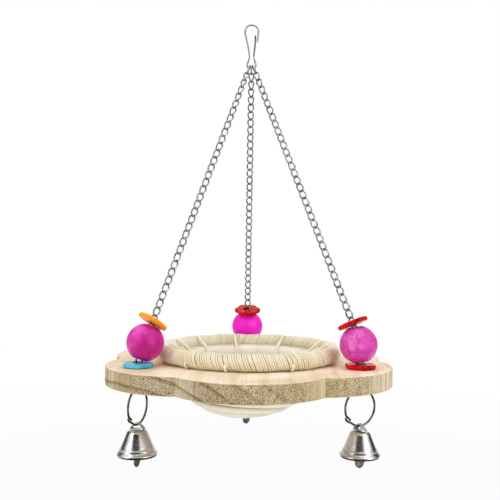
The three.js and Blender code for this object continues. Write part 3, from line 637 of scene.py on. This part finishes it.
class NEST_OT_chains(bpy.types.Operator):
    """Links the three curb chains out of twisted oval wire."""

    bl_idname = "nest.chains"
    bl_label = "Chains"

    def execute(self, context):
        metal = nickel("bright nickel plate on chain wire", "#B4B5B6", "#5C5E61", 0.12, 0.28, 600.0)
        for name, strand in STRANDS.items():
            shape = self.chain(context.scene.wire_sizes, strand)
            shape.piece(f"curb_chain_{name}", metal, "platform", [f"chain_{name}"], "chain_nickel")
        return {"FINISHED"}

    def chain(self, sizes, strand):
        """Every link is an oval whose plane turns about the chain's line from one end to the other,
        so that neighbours cross square to each other. All the links are worked out as one array."""
        path = chain_path(strand)
        length = travel(path)
        count = round(length[-1] / (sizes.link_pitch / MM))
        ends = at_distance(path, length, np.linspace(0, length[-1], count + 1))
        start, stop = ends[:-1], ends[1:]
        line = unit(stop - start)
        radius = sizes.link_wire / MM / 2
        # The first link takes the hook's bar. The flat side rolls round to the front over the next
        # eight links, and over the last six to take the ring.
        index = np.arange(count)
        roll = 45 * (1 - np.minimum(1, (index - 1) / 8))
        roll += (45 - strand["ring"]) * np.maximum(0, 1 - (count - 1 - index) / 6)
        roll[0] = 90
        twist = np.where(index == 0, 0.0, 90.0)[:, None]
        front = unit(np.array([1.0, 0, 0]) - line * line[:, :1])
        side = np.cross(line, front)
        t = 2 * np.pi * (np.arange(18) + 0.5) / 18
        reach = (np.linalg.norm(stop - start, axis=1) + 2 * radius - 0.02)[:, None] / 2
        # A curb link's ends are rounder than an ellipse's: x and y are eased to a rounded slot
        ease = (np.abs(np.cos(t)) ** 3 + np.abs(np.sin(t)) ** 3) ** 0.12
        x = reach * np.cos(t) / ease
        x *= reach / np.abs(x).max(1, keepdims=True)
        y = (sizes.link_width / MM / 2 - radius) * np.sin(t) / ease
        turn = np.radians(roll[:, None] + twist * x / (2 * reach))[..., None]
        across = front[:, None] * np.cos(turn) + side[:, None] * np.sin(turn)
        middle = (start + stop)[:, None] / 2
        links = middle + line[:, None] * x[..., None] + across * y[:, None]
        shape = Shape()
        for link, centre in zip(links, middle):
            shape.add(carried(link, centre - link, circle(radius, 6), True), closed=True)
        return shape


# ---- board ----


def scalloped_outline(lobes, lobe_radius, lobe_circle, angles):
    """The radius of a flower outline at each angle: the far side of the nearest round lobe."""
    off = angles - np.round(angles / (2 * np.pi / lobes)) * 2 * np.pi / lobes
    return lobe_circle * np.cos(off) + np.sqrt(lobe_radius ** 2 - (lobe_circle * np.sin(off)) ** 2)


class NEST_OT_board(bpy.types.Operator):
    """Cuts the scalloped pine board with its round opening and its three drilled holes."""

    bl_idname = "nest.board"
    bl_label = "Scalloped board"

    def execute(self, context):
        sizes = context.scene.wood_sizes
        thick, edge = sizes.board_thickness / MM, sizes.edge_round / MM
        angles = full_turn(432)[:, None]
        outer, inner = scalloped_outline(6, 52.7, 47.1, angles - np.pi / 2), 54.0
        # The section's points as share of the way outwards, shift outwards and height. It runs up
        # round the opening's top edge, over the top, down the outer wall and back below.
        arc = np.linspace(0, np.pi / 2, 5)
        a, b = edge * (1 - np.cos(arc)), edge * (1 - np.sin(arc))
        part = np.linspace(0, 1, 9)[1:-1]
        inset = edge * (1 - 2 * part)
        share, shift, height = np.vstack([
            xyz(0, a, -b), xyz(part, inset, 0), xyz(1, -a, -b)[::-1],
            xyz(1, 0, -edge - (thick - 2 * edge) * part[::2]), xyz(1, -a, b - thick),
            xyz(part, inset, -thick)[::-1], xyz(0, a, b - thick)[::-1]]).T
        shape = Shape()
        shape.add(polar(angles, inner * (1 - share) + outer * share + shift, height), closed=True)
        piece = shape.piece("pine_board", sanded_pine("pine, sanded and unfinished"), "platform",
                            ["scalloped_board"], "board_pine")
        for strand in STRANDS.values():
            self.drill(piece, thick, around(strand["azimuth"], HOLE_CIRCLE, 0.0))
        piece.data.name = "pine_board"
        sharp_edges(piece, 35)
        return {"FINISHED"}

    def drill(self, board, thick, place):
        """Cuts a round hole for a chain with a boolean, then applies it."""
        pin = revolved([(HOLE_RADIUS, thick), (HOLE_RADIUS, -2 * thick)], 32).swapaxes(0, 1)
        tool = Shape()
        tool.add(pin + place)
        cutter = tool.object("drill")
        cut = board.modifiers.new("hole", "BOOLEAN")
        cut.operation, cut.object, cut.solver = "DIFFERENCE", cutter, "EXACT"
        bpy.context.view_layer.update()
        depsgraph = bpy.context.evaluated_depsgraph_get()
        made = bpy.data.meshes.new_from_object(board.evaluated_get(depsgraph))
        board.modifiers.remove(cut)
        unused = (board.data, cutter.data)
        board.data = made
        bpy.data.objects.remove(cutter)
        for mesh in unused:
            bpy.data.meshes.remove(mesh)


# ---- beads and discs ----


def solid_place(node):
    """A bead's or disc's middle and the unit vector along its own Z, from its joint."""
    kind, name = node.rsplit("_", 1)
    joints = frame["record"]["behaviour"]["joints"]
    found = next(joint for joint in joints if joint["name"] == f"{kind}_spin_{name}")
    return np.array(found["pos_m"]) / MM - [0, 0, BOARD_TOP], unit(np.array(found["axis"], float))


class NEST_OT_beads(bpy.types.Operator):
    """Turns the three dyed wooden beads."""

    bl_idname = "nest.beads"
    bl_label = "Beads"

    def execute(self, context):
        dyes = {
            "left": dyed_wood("maple, turned and dyed deep magenta", "#CE1896", "#B40480",
                              "#E450BC"),
            "right": dyed_wood("maple, turned and dyed pale magenta", "#E44CBC", "#D63CAC",
                               "#F284D8", crackle=0.6),
            "rear": dyed_wood("maple, turned and dyed vivid magenta", "#FF08DC", "#F600CC",
                              "#FF2CE4"),
        }
        radius, bore = context.scene.wood_sizes.bead_diameter / MM / 2, 3.7
        edge = math.asin(bore / radius)
        top = radius * math.cos(edge)
        angle = np.linspace(edge + 0.05, math.pi - edge - 0.05, 40)
        ball = np.stack([radius * np.sin(angle), radius * np.cos(angle)], -1)
        hole = np.stack([np.full(7, bore), np.linspace(-top + 0.35, top - 0.35, 7)], -1)
        grid = revolved(np.vstack([ball, hole]), 64)
        away = np.linalg.norm(grid, axis=-1, keepdims=True) > radius - 0.3
        rng = np.random.default_rng(7)
        for name, dye in dyes.items():
            # Shallow flats left by tumbling: planes trim the ball 0.1 mm inside its surface
            flats = unit(rng.normal(size=(26, 3)))
            over = np.maximum(np.tensordot(grid, flats.T, 1) - (radius - 0.1), 0)
            trimmed = grid - np.where(away, np.tensordot(over, flats, 1), 0)
            shape = Shape()
            shape.add(stood(trimmed, *solid_place(f"bead_{name}")), closed=True)
            shape.piece(f"dyed_bead_{name}", dye, f"bead_{name}", [f"bead_{name}"],
                        "bead_dyed_wood", sharp=50)
        return {"FINISHED"}


class NEST_OT_discs(bpy.types.Operator):
    """Moulds the six flower discs with their rounded petals."""

    bl_idname = "nest.discs"
    bl_label = "Flower discs"

    def execute(self, context):
        orange = tinted_plastic("tinted acrylic, orange, moulded", "#FFA828", "#FC9014")
        red = tinted_plastic("tinted acrylic, red, moulded", "#DC020C", "#A40003")
        blue = tinted_plastic("tinted acrylic, turquoise, moulded", "#66CCE0", "#38A4C6")
        for name in STRANDS:
            for kind, plastic, slot in (("top_disc", orange, "disc_orange"),
                                        ("bottom_disc", blue, "disc_turquoise")):
                if name != "left":
                    plastic, slot = red, "disc_red"
                self.disc(kind, name, plastic, slot)
        return {"FINISHED"}

    def disc(self, kind, name, plastic, slot):
        """Radius and height over the angle and a section parameter: the section is a slab with
        round edges whose outer side follows the flower's outline, and both faces dip between the
        petals."""
        angles = full_turn(120)[:, None]
        outer = scalloped_outline(6, 4.8, 5.2, angles)
        hole, half, edge, lip = 3.3, 1.4, 0.9, 0.5
        arc = np.linspace(-np.pi / 2, np.pi / 2, 9)
        part = np.linspace(0, 1, 7)[1:-1]
        valley = 1 - (outer - outer.min()) / (outer.max() - outer.min())
        face = (outer - edge) * (1 - part) + (hole + lip) * part
        dip = half - 0.35 * valley * np.sin(np.pi * (1 - part)) ** 2

        def ends(size):
            return (half - size) * np.sign(arc) + size * np.sin(arc) + 0 * outer

        radii = np.hstack([outer - edge + edge * np.cos(arc), face,
                           hole + lip - lip * np.cos(arc[::-1]) + 0 * outer, face[:, ::-1]])
        heights = np.hstack([ends(edge), dip, ends(lip)[:, ::-1], -dip[:, ::-1]])
        spin = STRANDS[name]["azimuth"] if kind == "bottom_disc" else 0
        grid = polar(angles + math.radians(spin), radii, heights)
        node = f"{kind}_{name}"
        shape = Shape()
        shape.add(stood(grid, *solid_place(node)), closed=True)
        shape.piece(f"flower_{node}", plastic, node, [node], slot)


# ---- nest ----

RIM_RADIUS, CORE_RADIUS, RIM_HEIGHT, RIM_OUTER = 57.5, 3.3, 5.6966, 5.3966
BOWL_RADIUS, BOWL_DEPTH, CORD, SLUMP, GAP = 48.5, 34.7, 4.6, 4.0, 0.6
BOWL_TOP = RIM_HEIGHT - math.sqrt((RIM_OUTER + CORD + GAP) ** 2 - (RIM_RADIUS - BOWL_RADIUS) ** 2)
START, LEVEL_SHARE, EVEN_TURNS, TIP_TURNS = 342.0, 0.6, 6.0, 0.3
FLAT_WIDTH = 2 * CORD * math.cos(math.pi / 6)
# The solid's coil ends this far from the middle. Here it goes on for part of a turn.
FLOOR_HOLE, CLOSING_TURN = CORD + 1.2, 0.72
TIES = (15, 60, 101, 134, 160, 188, 214, 300, 325, 346)
# Azimuths where two of the front ties come out again, low on the rim's outer side
TIE_LOOPS = {7: (230, 256), 8: (295,)}
TIE_RADIUS, TIE_CLEARANCE = 0.95, 0.6


def coil_drop(turn):
    """How far down the bowl the cord has come, in its own widths: level at first, dropping beside
    its start, ever more evenly towards the floor."""
    whole = np.floor(turn)
    part = turn - whole
    t = np.clip((part - LEVEL_SHARE) / (1 - LEVEL_SHARE), 0, 1)
    late = t * t * (3 - 2 * t)
    even = np.clip(whole / EVEN_TURNS, 0, 1)
    return whole + late * (1 - even) + part * even


def bowl_line(per_turn):
    """The bowl cord's stations: turns, angle down the quarter ellipse and radius, from the thin
    tip between rim and first turn to the floor. The angle adds up the drop over the local arc."""
    tip = np.arange(-round(TIP_TURNS * per_turn), 0) / per_turn
    wedge = coil_drop(1 + tip) * (FLAT_WIDTH + GAP)
    tip_angle = (wedge - FLAT_WIDTH - GAP) / 2 / BOWL_DEPTH
    tip_radius = CORD * (wedge - GAP) / FLAT_WIDTH
    angles = [0.0]
    while BOWL_RADIUS * math.cos(angles[-1]) > FLOOR_HOLE:
        arc = math.hypot(BOWL_RADIUS * math.sin(angles[-1]), BOWL_DEPTH * math.cos(angles[-1]))
        width = (FLAT_WIDTH + GAP) / (1 - CORD / 2 / (arc ** 3 / (BOWL_RADIUS * BOWL_DEPTH)))
        before, after = coil_drop(np.array([len(angles) - 1, len(angles)]) / per_turn)
        angles.append(angles[-1] + width * float(after - before) / arc)
    angles.pop()
    turns = np.arange(len(angles)) / per_turn
    # The last part of a turn closes in on the middle of the floor
    last = np.arange(1, round(CLOSING_TURN * per_turn)) / per_turn
    closing = np.arccos((FLOOR_HOLE - 5.4 * last) / BOWL_RADIUS)
    return (np.concatenate([tip, turns, turns[-1] + last]),
            np.concatenate([tip_angle, angles, closing]),
            np.concatenate([tip_radius, np.full(len(angles) + len(last), CORD)]))


def bowl_places(turns, angles):
    """Points on the bowl's slumped quarter ellipse and the directions out of the bowl there."""
    azimuth = np.radians(START) + 2 * np.pi * turns
    points = polar(azimuth, BOWL_RADIUS * np.cos(angles), BOWL_TOP - BOWL_DEPTH * np.sin(angles))
    points[:, 0] -= SLUMP * np.sin(angles) ** 2
    return points, unit(polar(azimuth, BOWL_DEPTH * np.cos(angles), -BOWL_RADIUS * np.sin(angles)))


class NEST_OT_rim(bpy.types.Operator):
    """Winds the cotton round the rim's hoop."""

    bl_idname = "nest.rim"
    bl_label = "Wound rim"

    def execute(self, context):
        sizes = context.scene.nest_sizes
        wraps, thick, steps, sides = sizes.wraps, sizes.wrap_thickness / MM, 16, 8
        rng = np.random.default_rng(3)
        turn = np.arange(wraps * steps - 8) / steps
        whole = np.arange(wraps + 1)
        wobble = np.interp(turn, whole, rng.normal(0, 0.13, wraps + 1))
        lift = np.interp(turn, whole, rng.uniform(0, 0.16, wraps + 1))
        # Hand tension makes the whole rim a little thicker and thinner every few centimetres
        swell = (0.22 * np.sin(turn * 2 * np.pi / 23.0)
                 + 0.15 * np.sin(turn * 2 * np.pi / 9.7 + 1.0))
        wrap_angle = 2 * np.pi * turn
        radius = CORE_RADIUS + 0.55 + thick / 2 + lift + swell
        # Each turn leans: its top lies behind its bottom along the rim
        azimuth = wrap_angle / wraps + (wobble - 2.1 * np.sin(wrap_angle)) / RIM_RADIUS
        reach = RIM_RADIUS + radius * np.cos(wrap_angle)
        path = polar(azimuth, reach, RIM_HEIGHT + radius * np.sin(wrap_angle))
        outward = unit(path - polar(azimuth, RIM_RADIUS, RIM_HEIGHT))
        section = scaled(circle(1.0, sides), thick / 2, 2 * np.pi * reach / wraps * 0.52)
        winding = Shape()
        winding.add(carried(path, outward, section), across=np.arange(sides) / sides / MM)
        # The groove colour given here is painted shade where neighbouring wraps touch
        wrap = cotton("cotton twine, wound round the rim", "#FAF2DC", "#EFE5C8", 0.6, 0.0009,
                      girth=0.005, groove_shade_colour="#8E7A46", groove_width=1.95, stain=True)
        winding.piece("rim_cotton_winding", wrap, "nest", ["rim_winding"], "cotton_cord")
        hoop = Shape()
        hoop.add(carried(polar(full_turn(180), RIM_RADIUS, RIM_HEIGHT), (0, 0, 1),
                         circle(CORE_RADIUS + 0.5, 20), True), closed=True)
        padding = cotton("cotton batting under the winding", "#E6D9B4", "#C8B888", 0.6, 0.0012)
        hoop.piece("rim_hoop_padding", padding, "nest", ["rim_core"], "rim_hoop")
        return {"FINISHED"}


def closing_ends(count, steps):
    """How far each point lies from the nearer end of a path, in steps up to 1."""
    index = np.arange(count)
    return np.minimum(1, np.minimum(index, index[::-1]) / steps)


class NEST_OT_bowl(bpy.types.Operator):
    """Coils the padded cord down the bowl."""

    bl_idname = "nest.bowl"
    bl_label = "Bowl coil"

    def execute(self, context):
        per_turn, sides = 40, 16
        turns, angles, radius = bowl_line(per_turn)
        points, normal = bowl_places(turns, angles)
        length = np.cumsum(2 * np.pi * BOWL_RADIUS * np.cos(angles) / per_turn)
        dense = np.arange(0, length[-1], 0.6)
        points, normal = (at_distance(rows, length, dense) for rows in (points, normal))
        radius = np.interp(dense, length, radius)
        radius *= context.scene.nest_sizes.cord_diameter / MM / 2 / CORD
        # Fine wraps round the pad pinch it about every 2.4 mm, and the pad itself is uneven
        radius *= (0.992 + 0.010 * np.sin(2 * np.pi * dense / 2.4)
                   + 0.025 * np.sin(dense / 7.0) * np.sin(dense / 31.0))
        radius *= np.sqrt(np.maximum(1 - (1 - closing_ends(len(dense), 5.0)) ** 2, 0.02))
        section = scaled(circle(1.0, sides), radius * 0.99, radius * 0.965)
        shape = Shape()
        shape.add(carried(points, unit(normal), section), across=np.arange(sides) / sides / MM)
        # The groove colour given here is painted shade where neighbouring turns touch
        cord = cotton("cotton batting, wrapped cord of the bowl", "#FFFAEE", "#F5EDDA", 0.12,
                      0.0014, girth=0.029, groove_shade_colour="#6E6042", groove_width=1.9)
        shape.piece("bowl_padded_coil", cord, "nest", ["bowl_coil"], "cotton_cord")
        return {"FINISHED"}


class NEST_OT_ties(bpy.types.Operator):
    """Lays the short tie cords over rim and bowl."""

    bl_idname = "nest.ties"
    bl_label = "Tie cords"

    def execute(self, context):
        yarn = cotton("cotton tie, two-ply", "#FFFAEA", "#F6EDD6", 0.7, 0.0010)
        turns, angles, radius = bowl_line(20)
        for number, azimuth in enumerate(TIES, 1):
            turn = (azimuth - START + 360) % 360 / 360
            tip = np.argmin(np.abs(turns - (turn - 1)))
            use_tip = turns[tip] < 0 and radius[tip] > 0.6 * CORD
            at = tip if use_tip else np.argmin(np.abs(turns - turn))
            reach = BOWL_RADIUS * math.cos(angles[at])
            height = BOWL_TOP - BOWL_DEPTH * math.sin(angles[at])
            shape = Shape()
            self.tie(shape, azimuth, reach, height, radius[at])
            for loop in TIE_LOOPS.get(number, ()):
                self.loop(shape, loop)
            shape.piece(f"tie_cord_{number}", yarn, "nest", [f"tie_{number}"], "tie_cord")
        return {"FINISHED"}

    def tie(self, shape, azimuth, reach, height, cord):
        """A cord over the rim's circle, straight along the tangent and round the bowl cord's
        circle. It rises out of the winding, and its two plies swell and pinch it."""
        over_rim = RIM_OUTER + TIE_RADIUS + TIE_CLEARANCE
        over_cord = cord + TIE_RADIUS + TIE_CLEARANCE
        inward, down = RIM_RADIUS - reach, RIM_HEIGHT - height
        leave = 180 + math.degrees(math.atan2(down, inward)) - math.degrees(
            math.acos((over_rim - over_cord) / math.hypot(inward, down)))
        first = np.radians([leave - 16, leave - 6, leave])
        sunk = over_rim - np.array([2.4, 0.9, 0.2])
        second = np.radians(np.linspace(leave, leave + 85, 6))
        radii = np.concatenate([RIM_RADIUS + sunk * np.cos(first),
                                reach + over_cord * np.cos(second)])
        heights = np.concatenate([RIM_HEIGHT + sunk * np.sin(first),
                                  height + over_cord * np.sin(second)])
        path = smooth_path(around(azimuth, radii, heights), 6)
        phase = np.arange(len(path))[:, None] * 0.55
        lay = 0.88 + 0.12 * np.abs(np.cos(full_turn(12) + phase))
        ends = np.sqrt(np.maximum(closing_ends(len(path), 2.0), 0.15))
        section = circle(TIE_RADIUS, 12) * (lay * ends[:, None])[..., None]
        shape.add(carried(path, around(azimuth + 90, 1.0, 0.0), section))

    def loop(self, shape, azimuth):
        """A short arc about the rim whose two ends sink into the winding."""
        arc = np.radians([-62, -52, -38, -24, -14])
        out = np.array([4.6, 5.9, 6.15, 5.9, 4.6])
        path = around(azimuth, RIM_RADIUS + out * np.cos(arc), RIM_HEIGHT + out * np.sin(arc))
        shape.add(carried(smooth_path(path, 5), around(azimuth + 90, 1.0, 0.0), circle(0.8, 10)))


# ---- rings, hangers, bells, clappers: made in the ring's own frame, X along the ring ----

HANGER_BASE, BELL_CROWN, LOOP_CENTRE, CLAPPER_PIVOT = -26.0, -26.3, -29.9, -31.9


def hang(label, metal, body, node, slot, grids, closed=True, across=None, sharp=None):
    """One piece below each hole of the board. Its grids have their origin in the wire at the top
    of the ring."""
    for name, strand in STRANDS.items():
        place = around(strand["azimuth"], HOLE_CIRCLE, RING_TOP)
        shape = Shape()
        for grid in grids:
            shape.add(turned(grid, strand["ring"], place), closed, across)
        shape.piece(f"{label}_{name}", metal, f"{body}_{name}", [f"{node}_{name}"], slot,
                    sharp=sharp)


class NEST_OT_rings(bpy.types.Operator):
    """Bends the three rings with their hooked clasps."""

    bl_idname = "nest.rings"
    bl_label = "Rings"

    def execute(self, context):
        metal = nickel("nickel plate on ring wire", "#7C7B78", "#3C3B39", 0.16, 0.3, 350.0)
        # One end of the wire bends outwards and the other inwards, so that they pass each other
        degrees = np.concatenate([[207, 212.4, 220.5], 229.5 + 333 * np.arange(13) / 12,
                                  [571.5, 579.6, 585]])
        offset = np.concatenate([[0.92, 1.15, 0.805], np.zeros(13), [-0.805, -1.15, -0.92]])
        angle, reach = np.radians(degrees), RING_MEAN + offset
        path = smooth_path(xyz(reach * np.cos(angle), 0, reach * np.sin(angle) - RING_MEAN), 7)
        grid = wire(path, context.scene.wire_sizes.ring_wire / MM / 2, 12, 0.6)
        hang("wire_ring", metal, "ring", "ring", "ring_nickel", [grid], closed=False)
        return {"FINISHED"}


class NEST_OT_hangers(bpy.types.Operator):
    """Folds the bells' hanger strips and adds shank, washer and inner loop."""

    bl_idname = "nest.hangers"
    bl_label = "Bell hangers"

    def execute(self, context):
        metal = nickel("nickel plate on folded strip", "#C4C6C8", "#96989B", 0.18, 0.3, 250.0)
        # The strip's mid line in its own plane: base, flanks and the rounded top over the ring
        corners = [(-5.0, 0.3), (5.0, 0.3), (1.3, 3.6), (0.6, 4.2), (-0.6, 4.2), (-1.3, 3.6)]
        line = rounded(corners, [1.0, 1.0, 0.8, 0.5, 0.5, 0.8], 5)
        section = scaled(slab(1.0, 1.0, 0.12), 4.0 - 1.6 * np.clip(line[:, 1] / 4.2, 0, 1), 0.56)
        strip = carried(xyz(0, line[:, 0], line[:, 1] + HANGER_BASE), (1, 0, 0), section, True)
        shank = revolved(rounded([(0.02, -27.95), (0.85, -27.95), (0.85, -26.5), (1.5, -26.28),
                                  (1.5, -25.95), (0.9, -25.5), (0.02, -25.4)], 0.15, 3), 24)
        t = full_turn(40)
        ring = xyz(2.0 * np.cos(t), 0, LOOP_CENTRE + 2.0 * np.sin(t))
        loop = carried(ring, (0, 1, 0), circle(0.45, 10), True)
        hang("folded_hanger", metal, "bell", "bell_hanger", "hanger_nickel", [strip, shank, loop],
             sharp=40)
        return {"FINISHED"}


class NEST_OT_bells(bpy.types.Operator):
    """Spins the three bell shells with their shoulder, raised line and rolled lip."""

    bl_idname = "nest.bells"
    bl_label = "Bells"

    def execute(self, context):
        sizes = context.scene.bell_sizes
        w, lip = sizes.shell / MM, sizes.bell_radius / MM
        metal = nickel("nickel plate, spun and polished", "#D8D8D6", "#BABAB7", 0.17, 0.25, 120.0,
                       lines=2600.0)
        outline = [(1.2, 0), (5.3, 0), (6.4, -1.1), (7.3, -3.4), (9.9, -9.8), (10.45, -11.1),
                   (11.05, -11.35), (11.3, -11.9), (11.15, -12.5), (11.6, -13.3),
                   (lip - 0.15, -14.2), (lip, -14.8), (lip - 0.3, -15.6), (lip - 0.7, -16.1),
                   (lip - w - 0.45, -15.9), (lip - w - 0.4, -15.2), (10.7, -12.9), (10.1, -11.5),
                   (9.3, -9.8), (6.6, -3.4), (5.7, -1.5), (4.9, -w), (1.2, -w)]
        soft = [0.1, 0.7, 0.9, 2, 2, 0.3, 0.25, 0.3, 0.3, 0.6, 0.5, 0.3, 0.3, 0.2, 0.3, 0.4, 0.8,
                0.6, 2, 2, 0.7, 0.6, 0.1]
        profile = rounded(outline, soft, 5)
        grid = revolved(profile + [0, BELL_CROWN], 96)
        hang("spun_bell", metal, "bell", "bell", "bell_nickel", [grid], across=travel(profile),
             sharp=60)
        return {"FINISHED"}


class NEST_OT_clappers(bpy.types.Operator):
    """Stamps the flat clapper tongues and curls their tops."""

    bl_idname = "nest.clappers"
    bl_label = "Clappers"

    def execute(self, context):
        metal = nickel("steel strip, stamped", "#7E8082", "#505254", 0.3, 0.45, 400.0)
        curl_radius = 1.14
        # Half-width down the tongue: narrow neck, widening straight, closing in a blunt point
        t = np.linspace(0, 1, 40)
        half = np.interp(t, [0, 0.72, 0.82, 0.9, 0.96, 0.99, 1.0],
                         [0.7, 3.6, 3.55, 2.9, 1.8, 0.8, 0.25])
        path = xyz(0, 0, CLAPPER_PIVOT - curl_radius - 16.8 * t)
        tongue = carried(path, (1, 0, 0), scaled(slab(2.0, 1.0, 0.12), half, 0.72))
        # The curl: a strip bent round the loop's wire, three quarters of a turn and more
        bend = np.radians(np.linspace(-80, 250, 30))
        path = xyz(0, curl_radius * np.cos(bend), CLAPPER_PIVOT + curl_radius * np.sin(bend))
        curl = carried(path, (1, 0, 0), slab(1.6, 0.56, 0.12))
        hang("clapper_tongue", metal, "clapper", "clapper", "clapper_steel", [tongue, curl],
             closed=False, sharp=40)
        return {"FINISHED"}


# ---- stage ----

WHITE = (1, 1, 1, 1)


def looked_at(tree):
    """1 for a ray from the camera, a mirror or clear glass, 0 for one that only brings light."""
    rays = add(tree, "ShaderNodeLightPath").outputs
    mirrored = maths(tree, "MAXIMUM", rays["Is Camera Ray"], rays["Is Glossy Ray"])
    return maths(tree, "MAXIMUM", mirrored, rays["Is Transmission Ray"])


class NEST_OT_stage(bpy.types.Operator):
    """Sets the pale floor, the soft lights and the camera of the photograph's view."""

    bl_idname = "nest.stage"
    bl_label = "Stage"

    def execute(self, context):
        scene = context.scene
        scene.view_settings.view_transform = "Standard"
        self.camera(scene)
        self.floor()
        self.light(scene, "left_softbox", (-0.75, -0.55, 0.28), 0.45, 1.1, 3.4)
        self.light(scene, "right_softbox", (0.72, -0.55, 0.20), 0.45, 1.1, 3.0)
        self.light(scene, "top_softbox", (0.05, -0.05, 0.80), 0.8, 0.8, 2.4)
        black, grey = "#1C1D1F", "#5E5F61"
        for name, azimuth, width, felt in (("front_flag", -103, 1.8, black),
                                           ("right_rear_flag", 25, 1.1, grey),
                                           ("left_rear_flag", 155, 1.1, grey)):
            across = np.array([-0.5, 0.5, 0.5, -0.5]) * width
            corners = xyz(1.2, across, [-0.5, -0.5, 0.7, 0.7])
            self.flag(name, turned(corners, azimuth, 0.0), felt)
        low = (BOARD_TOP + CLAPPER_TIPS - 100) * MM
        self.flag("under_flag", [(-0.25, -0.4, low), (0.25, -0.4, low), (0.25, 0.2, low),
                                 (-0.25, 0.2, low)], black)
        self.world(scene)
        return {"FINISHED"}

    def camera(self, scene):
        """The photograph's camera: 0.507 m in front of the nest, 71 mm above the board, level but
        for half a degree, and the nest turned by one degree."""
        yaw, pitch, roll = 0.017, 0.00806, 0.0099
        data = bpy.data.cameras.new("photo_camera")
        data.sensor_width = 36.0
        data.lens = 52.98
        data.clip_start, data.clip_end = 0.01, 50.0
        made = bpy.data.objects.new("photo_camera", data)
        scene.collection.objects.link(made)
        right = Vector((1, 0, 0))
        ahead = Vector((0, math.cos(pitch), math.sin(pitch)))
        above = Vector((0, -math.sin(pitch), math.cos(pitch)))
        across = right * math.cos(roll) + above * math.sin(roll)
        upright = above * math.cos(roll) - right * math.sin(roll)
        turn = Matrix.Rotation(-yaw, 3, "Z")
        place = turn @ Vector((0.00025, -0.5072, 0.071)) + Vector((0, 0, BOARD_TOP * MM))
        axes = Matrix((turn @ across, turn @ upright, turn @ -ahead)).transposed().to_4x4()
        made.matrix_world = Matrix.Translation(place) @ axes
        scene.camera = made

    def floor(self):
        """A wide pale floor well below the hanging nest, that the camera sees as near white."""
        size, height = 9.0, (BOARD_TOP + CLAPPER_TIPS - 120) * MM
        made = new_object("studio_floor", [(-size, -size, height), (size, -size, height),
                                           (size, size, height), (-size, size, height)],
                          [(0, 1, 2, 3)])
        material, tree, shader = new_material("painted studio floor, matt white")
        feed(tree, shader, {"Base Color": linear("#F2F2F2"), "Roughness": 0.9})
        # Only near the object does the floor show its shadow; further off it is plain white
        place = add(tree, "ShaderNodeTexCoord").outputs["Object"]
        near = add(tree, "ShaderNodeVectorMath", {0: place}, operation="LENGTH").outputs["Value"]
        part = maths(tree, "MULTIPLY", looked_at(tree), fade(tree, near, 0.5, 1.1, 0.86, 1.0))
        glow = add(tree, "ShaderNodeEmission", {"Color": WHITE, "Strength": 1.0})
        mixed = add(tree, "ShaderNodeMixShader", {0: part, 1: shader.outputs[0],
                                                  2: glow.outputs[0]})
        output = next(node for node in tree.nodes if node.type == "OUTPUT_MATERIAL")
        feed(tree, output, {0: mixed.outputs[0]})
        made.data.materials.append(material)

    def flag(self, name, corners, felt):
        """A dark card that only mirrors see, as photographers stand round metal."""
        made = new_object(name, corners, [(0, 1, 2, 3)])
        material, tree, shader = new_material("dark felt on card")
        feed(tree, shader, {"Base Color": linear(felt), "Roughness": 1.0})
        made.data.materials.append(material)
        made.visible_camera = made.visible_diffuse = False
        made.visible_shadow = made.visible_transmission = False

    def light(self, scene, name, place, width, height, watts):
        """A softbox aimed at the nest."""
        data = bpy.data.lights.new(name, "AREA")
        data.shape, data.size, data.size_y, data.energy = "RECTANGLE", width, height, watts
        made = bpy.data.objects.new(name, data)
        made.location = Vector((0, 0, -0.2)) + Vector(place)
        made.rotation_euler = (-Vector(place)).to_track_quat("-Z", "Y").to_euler()
        scene.collection.objects.link(made)

    def world(self, scene):
        """A white surround that the camera and reflections see, and softer light on the nest."""
        world = bpy.data.worlds.new("white_surround")
        world.use_nodes = True
        tree = world.node_tree
        tree.nodes.clear()
        seen, lit = (add(tree, "ShaderNodeBackground", {"Color": WHITE, "Strength": strength})
                     for strength in (1.0, 0.6))
        mixed = add(tree, "ShaderNodeMixShader", {0: looked_at(tree), 1: lit.outputs[0],
                                                  2: seen.outputs[0]})
        add(tree, "ShaderNodeOutputWorld", {0: mixed.outputs[0]})
        scene.world = world


# ---- add-on ----

OPERATORS = (
    NEST_OT_stage,
    NEST_OT_hook,
    NEST_OT_chains,
    NEST_OT_board,
    NEST_OT_beads,
    NEST_OT_discs,
    NEST_OT_rim,
    NEST_OT_bowl,
    NEST_OT_ties,
    NEST_OT_rings,
    NEST_OT_hangers,
    NEST_OT_bells,
    NEST_OT_clappers,
)


class NEST_PT_panel(bpy.types.Panel):
    """Lists the nest's pieces and their sizes."""

    bl_idname = "NEST_PT_panel"
    bl_label = "Bird Nest"
    bl_space_type = "VIEW_3D"
    bl_region_type = "UI"
    bl_category = "Bird Nest"

    def draw(self, context):
        for group in GROUPS:
            box = self.layout.box()
            for name in getattr(context.scene, group).__annotations__:
                box.prop(getattr(context.scene, group), name)
        for operator in OPERATORS:
            self.layout.operator(operator.bl_idname)


def register():
    for group in GROUPS.values():
        bpy.utils.register_class(group)
    for name, group in GROUPS.items():
        setattr(bpy.types.Scene, name, PointerProperty(type=group))
    for operator in OPERATORS:
        bpy.utils.register_class(operator)
    bpy.utils.register_class(NEST_PT_panel)


def unregister():
    bpy.utils.unregister_class(NEST_PT_panel)
    for operator in reversed(OPERATORS):
        bpy.utils.unregister_class(operator)
    for name, group in GROUPS.items():
        delattr(bpy.types.Scene, name)
        bpy.utils.unregister_class(group)


def main():
    """Registers the add-on and makes every piece in order."""
    register()
    for operator in OPERATORS:
        group, name = operator.bl_idname.split(".")
        getattr(getattr(bpy.ops, group), name)()


if __name__ == "__main__":
    main()
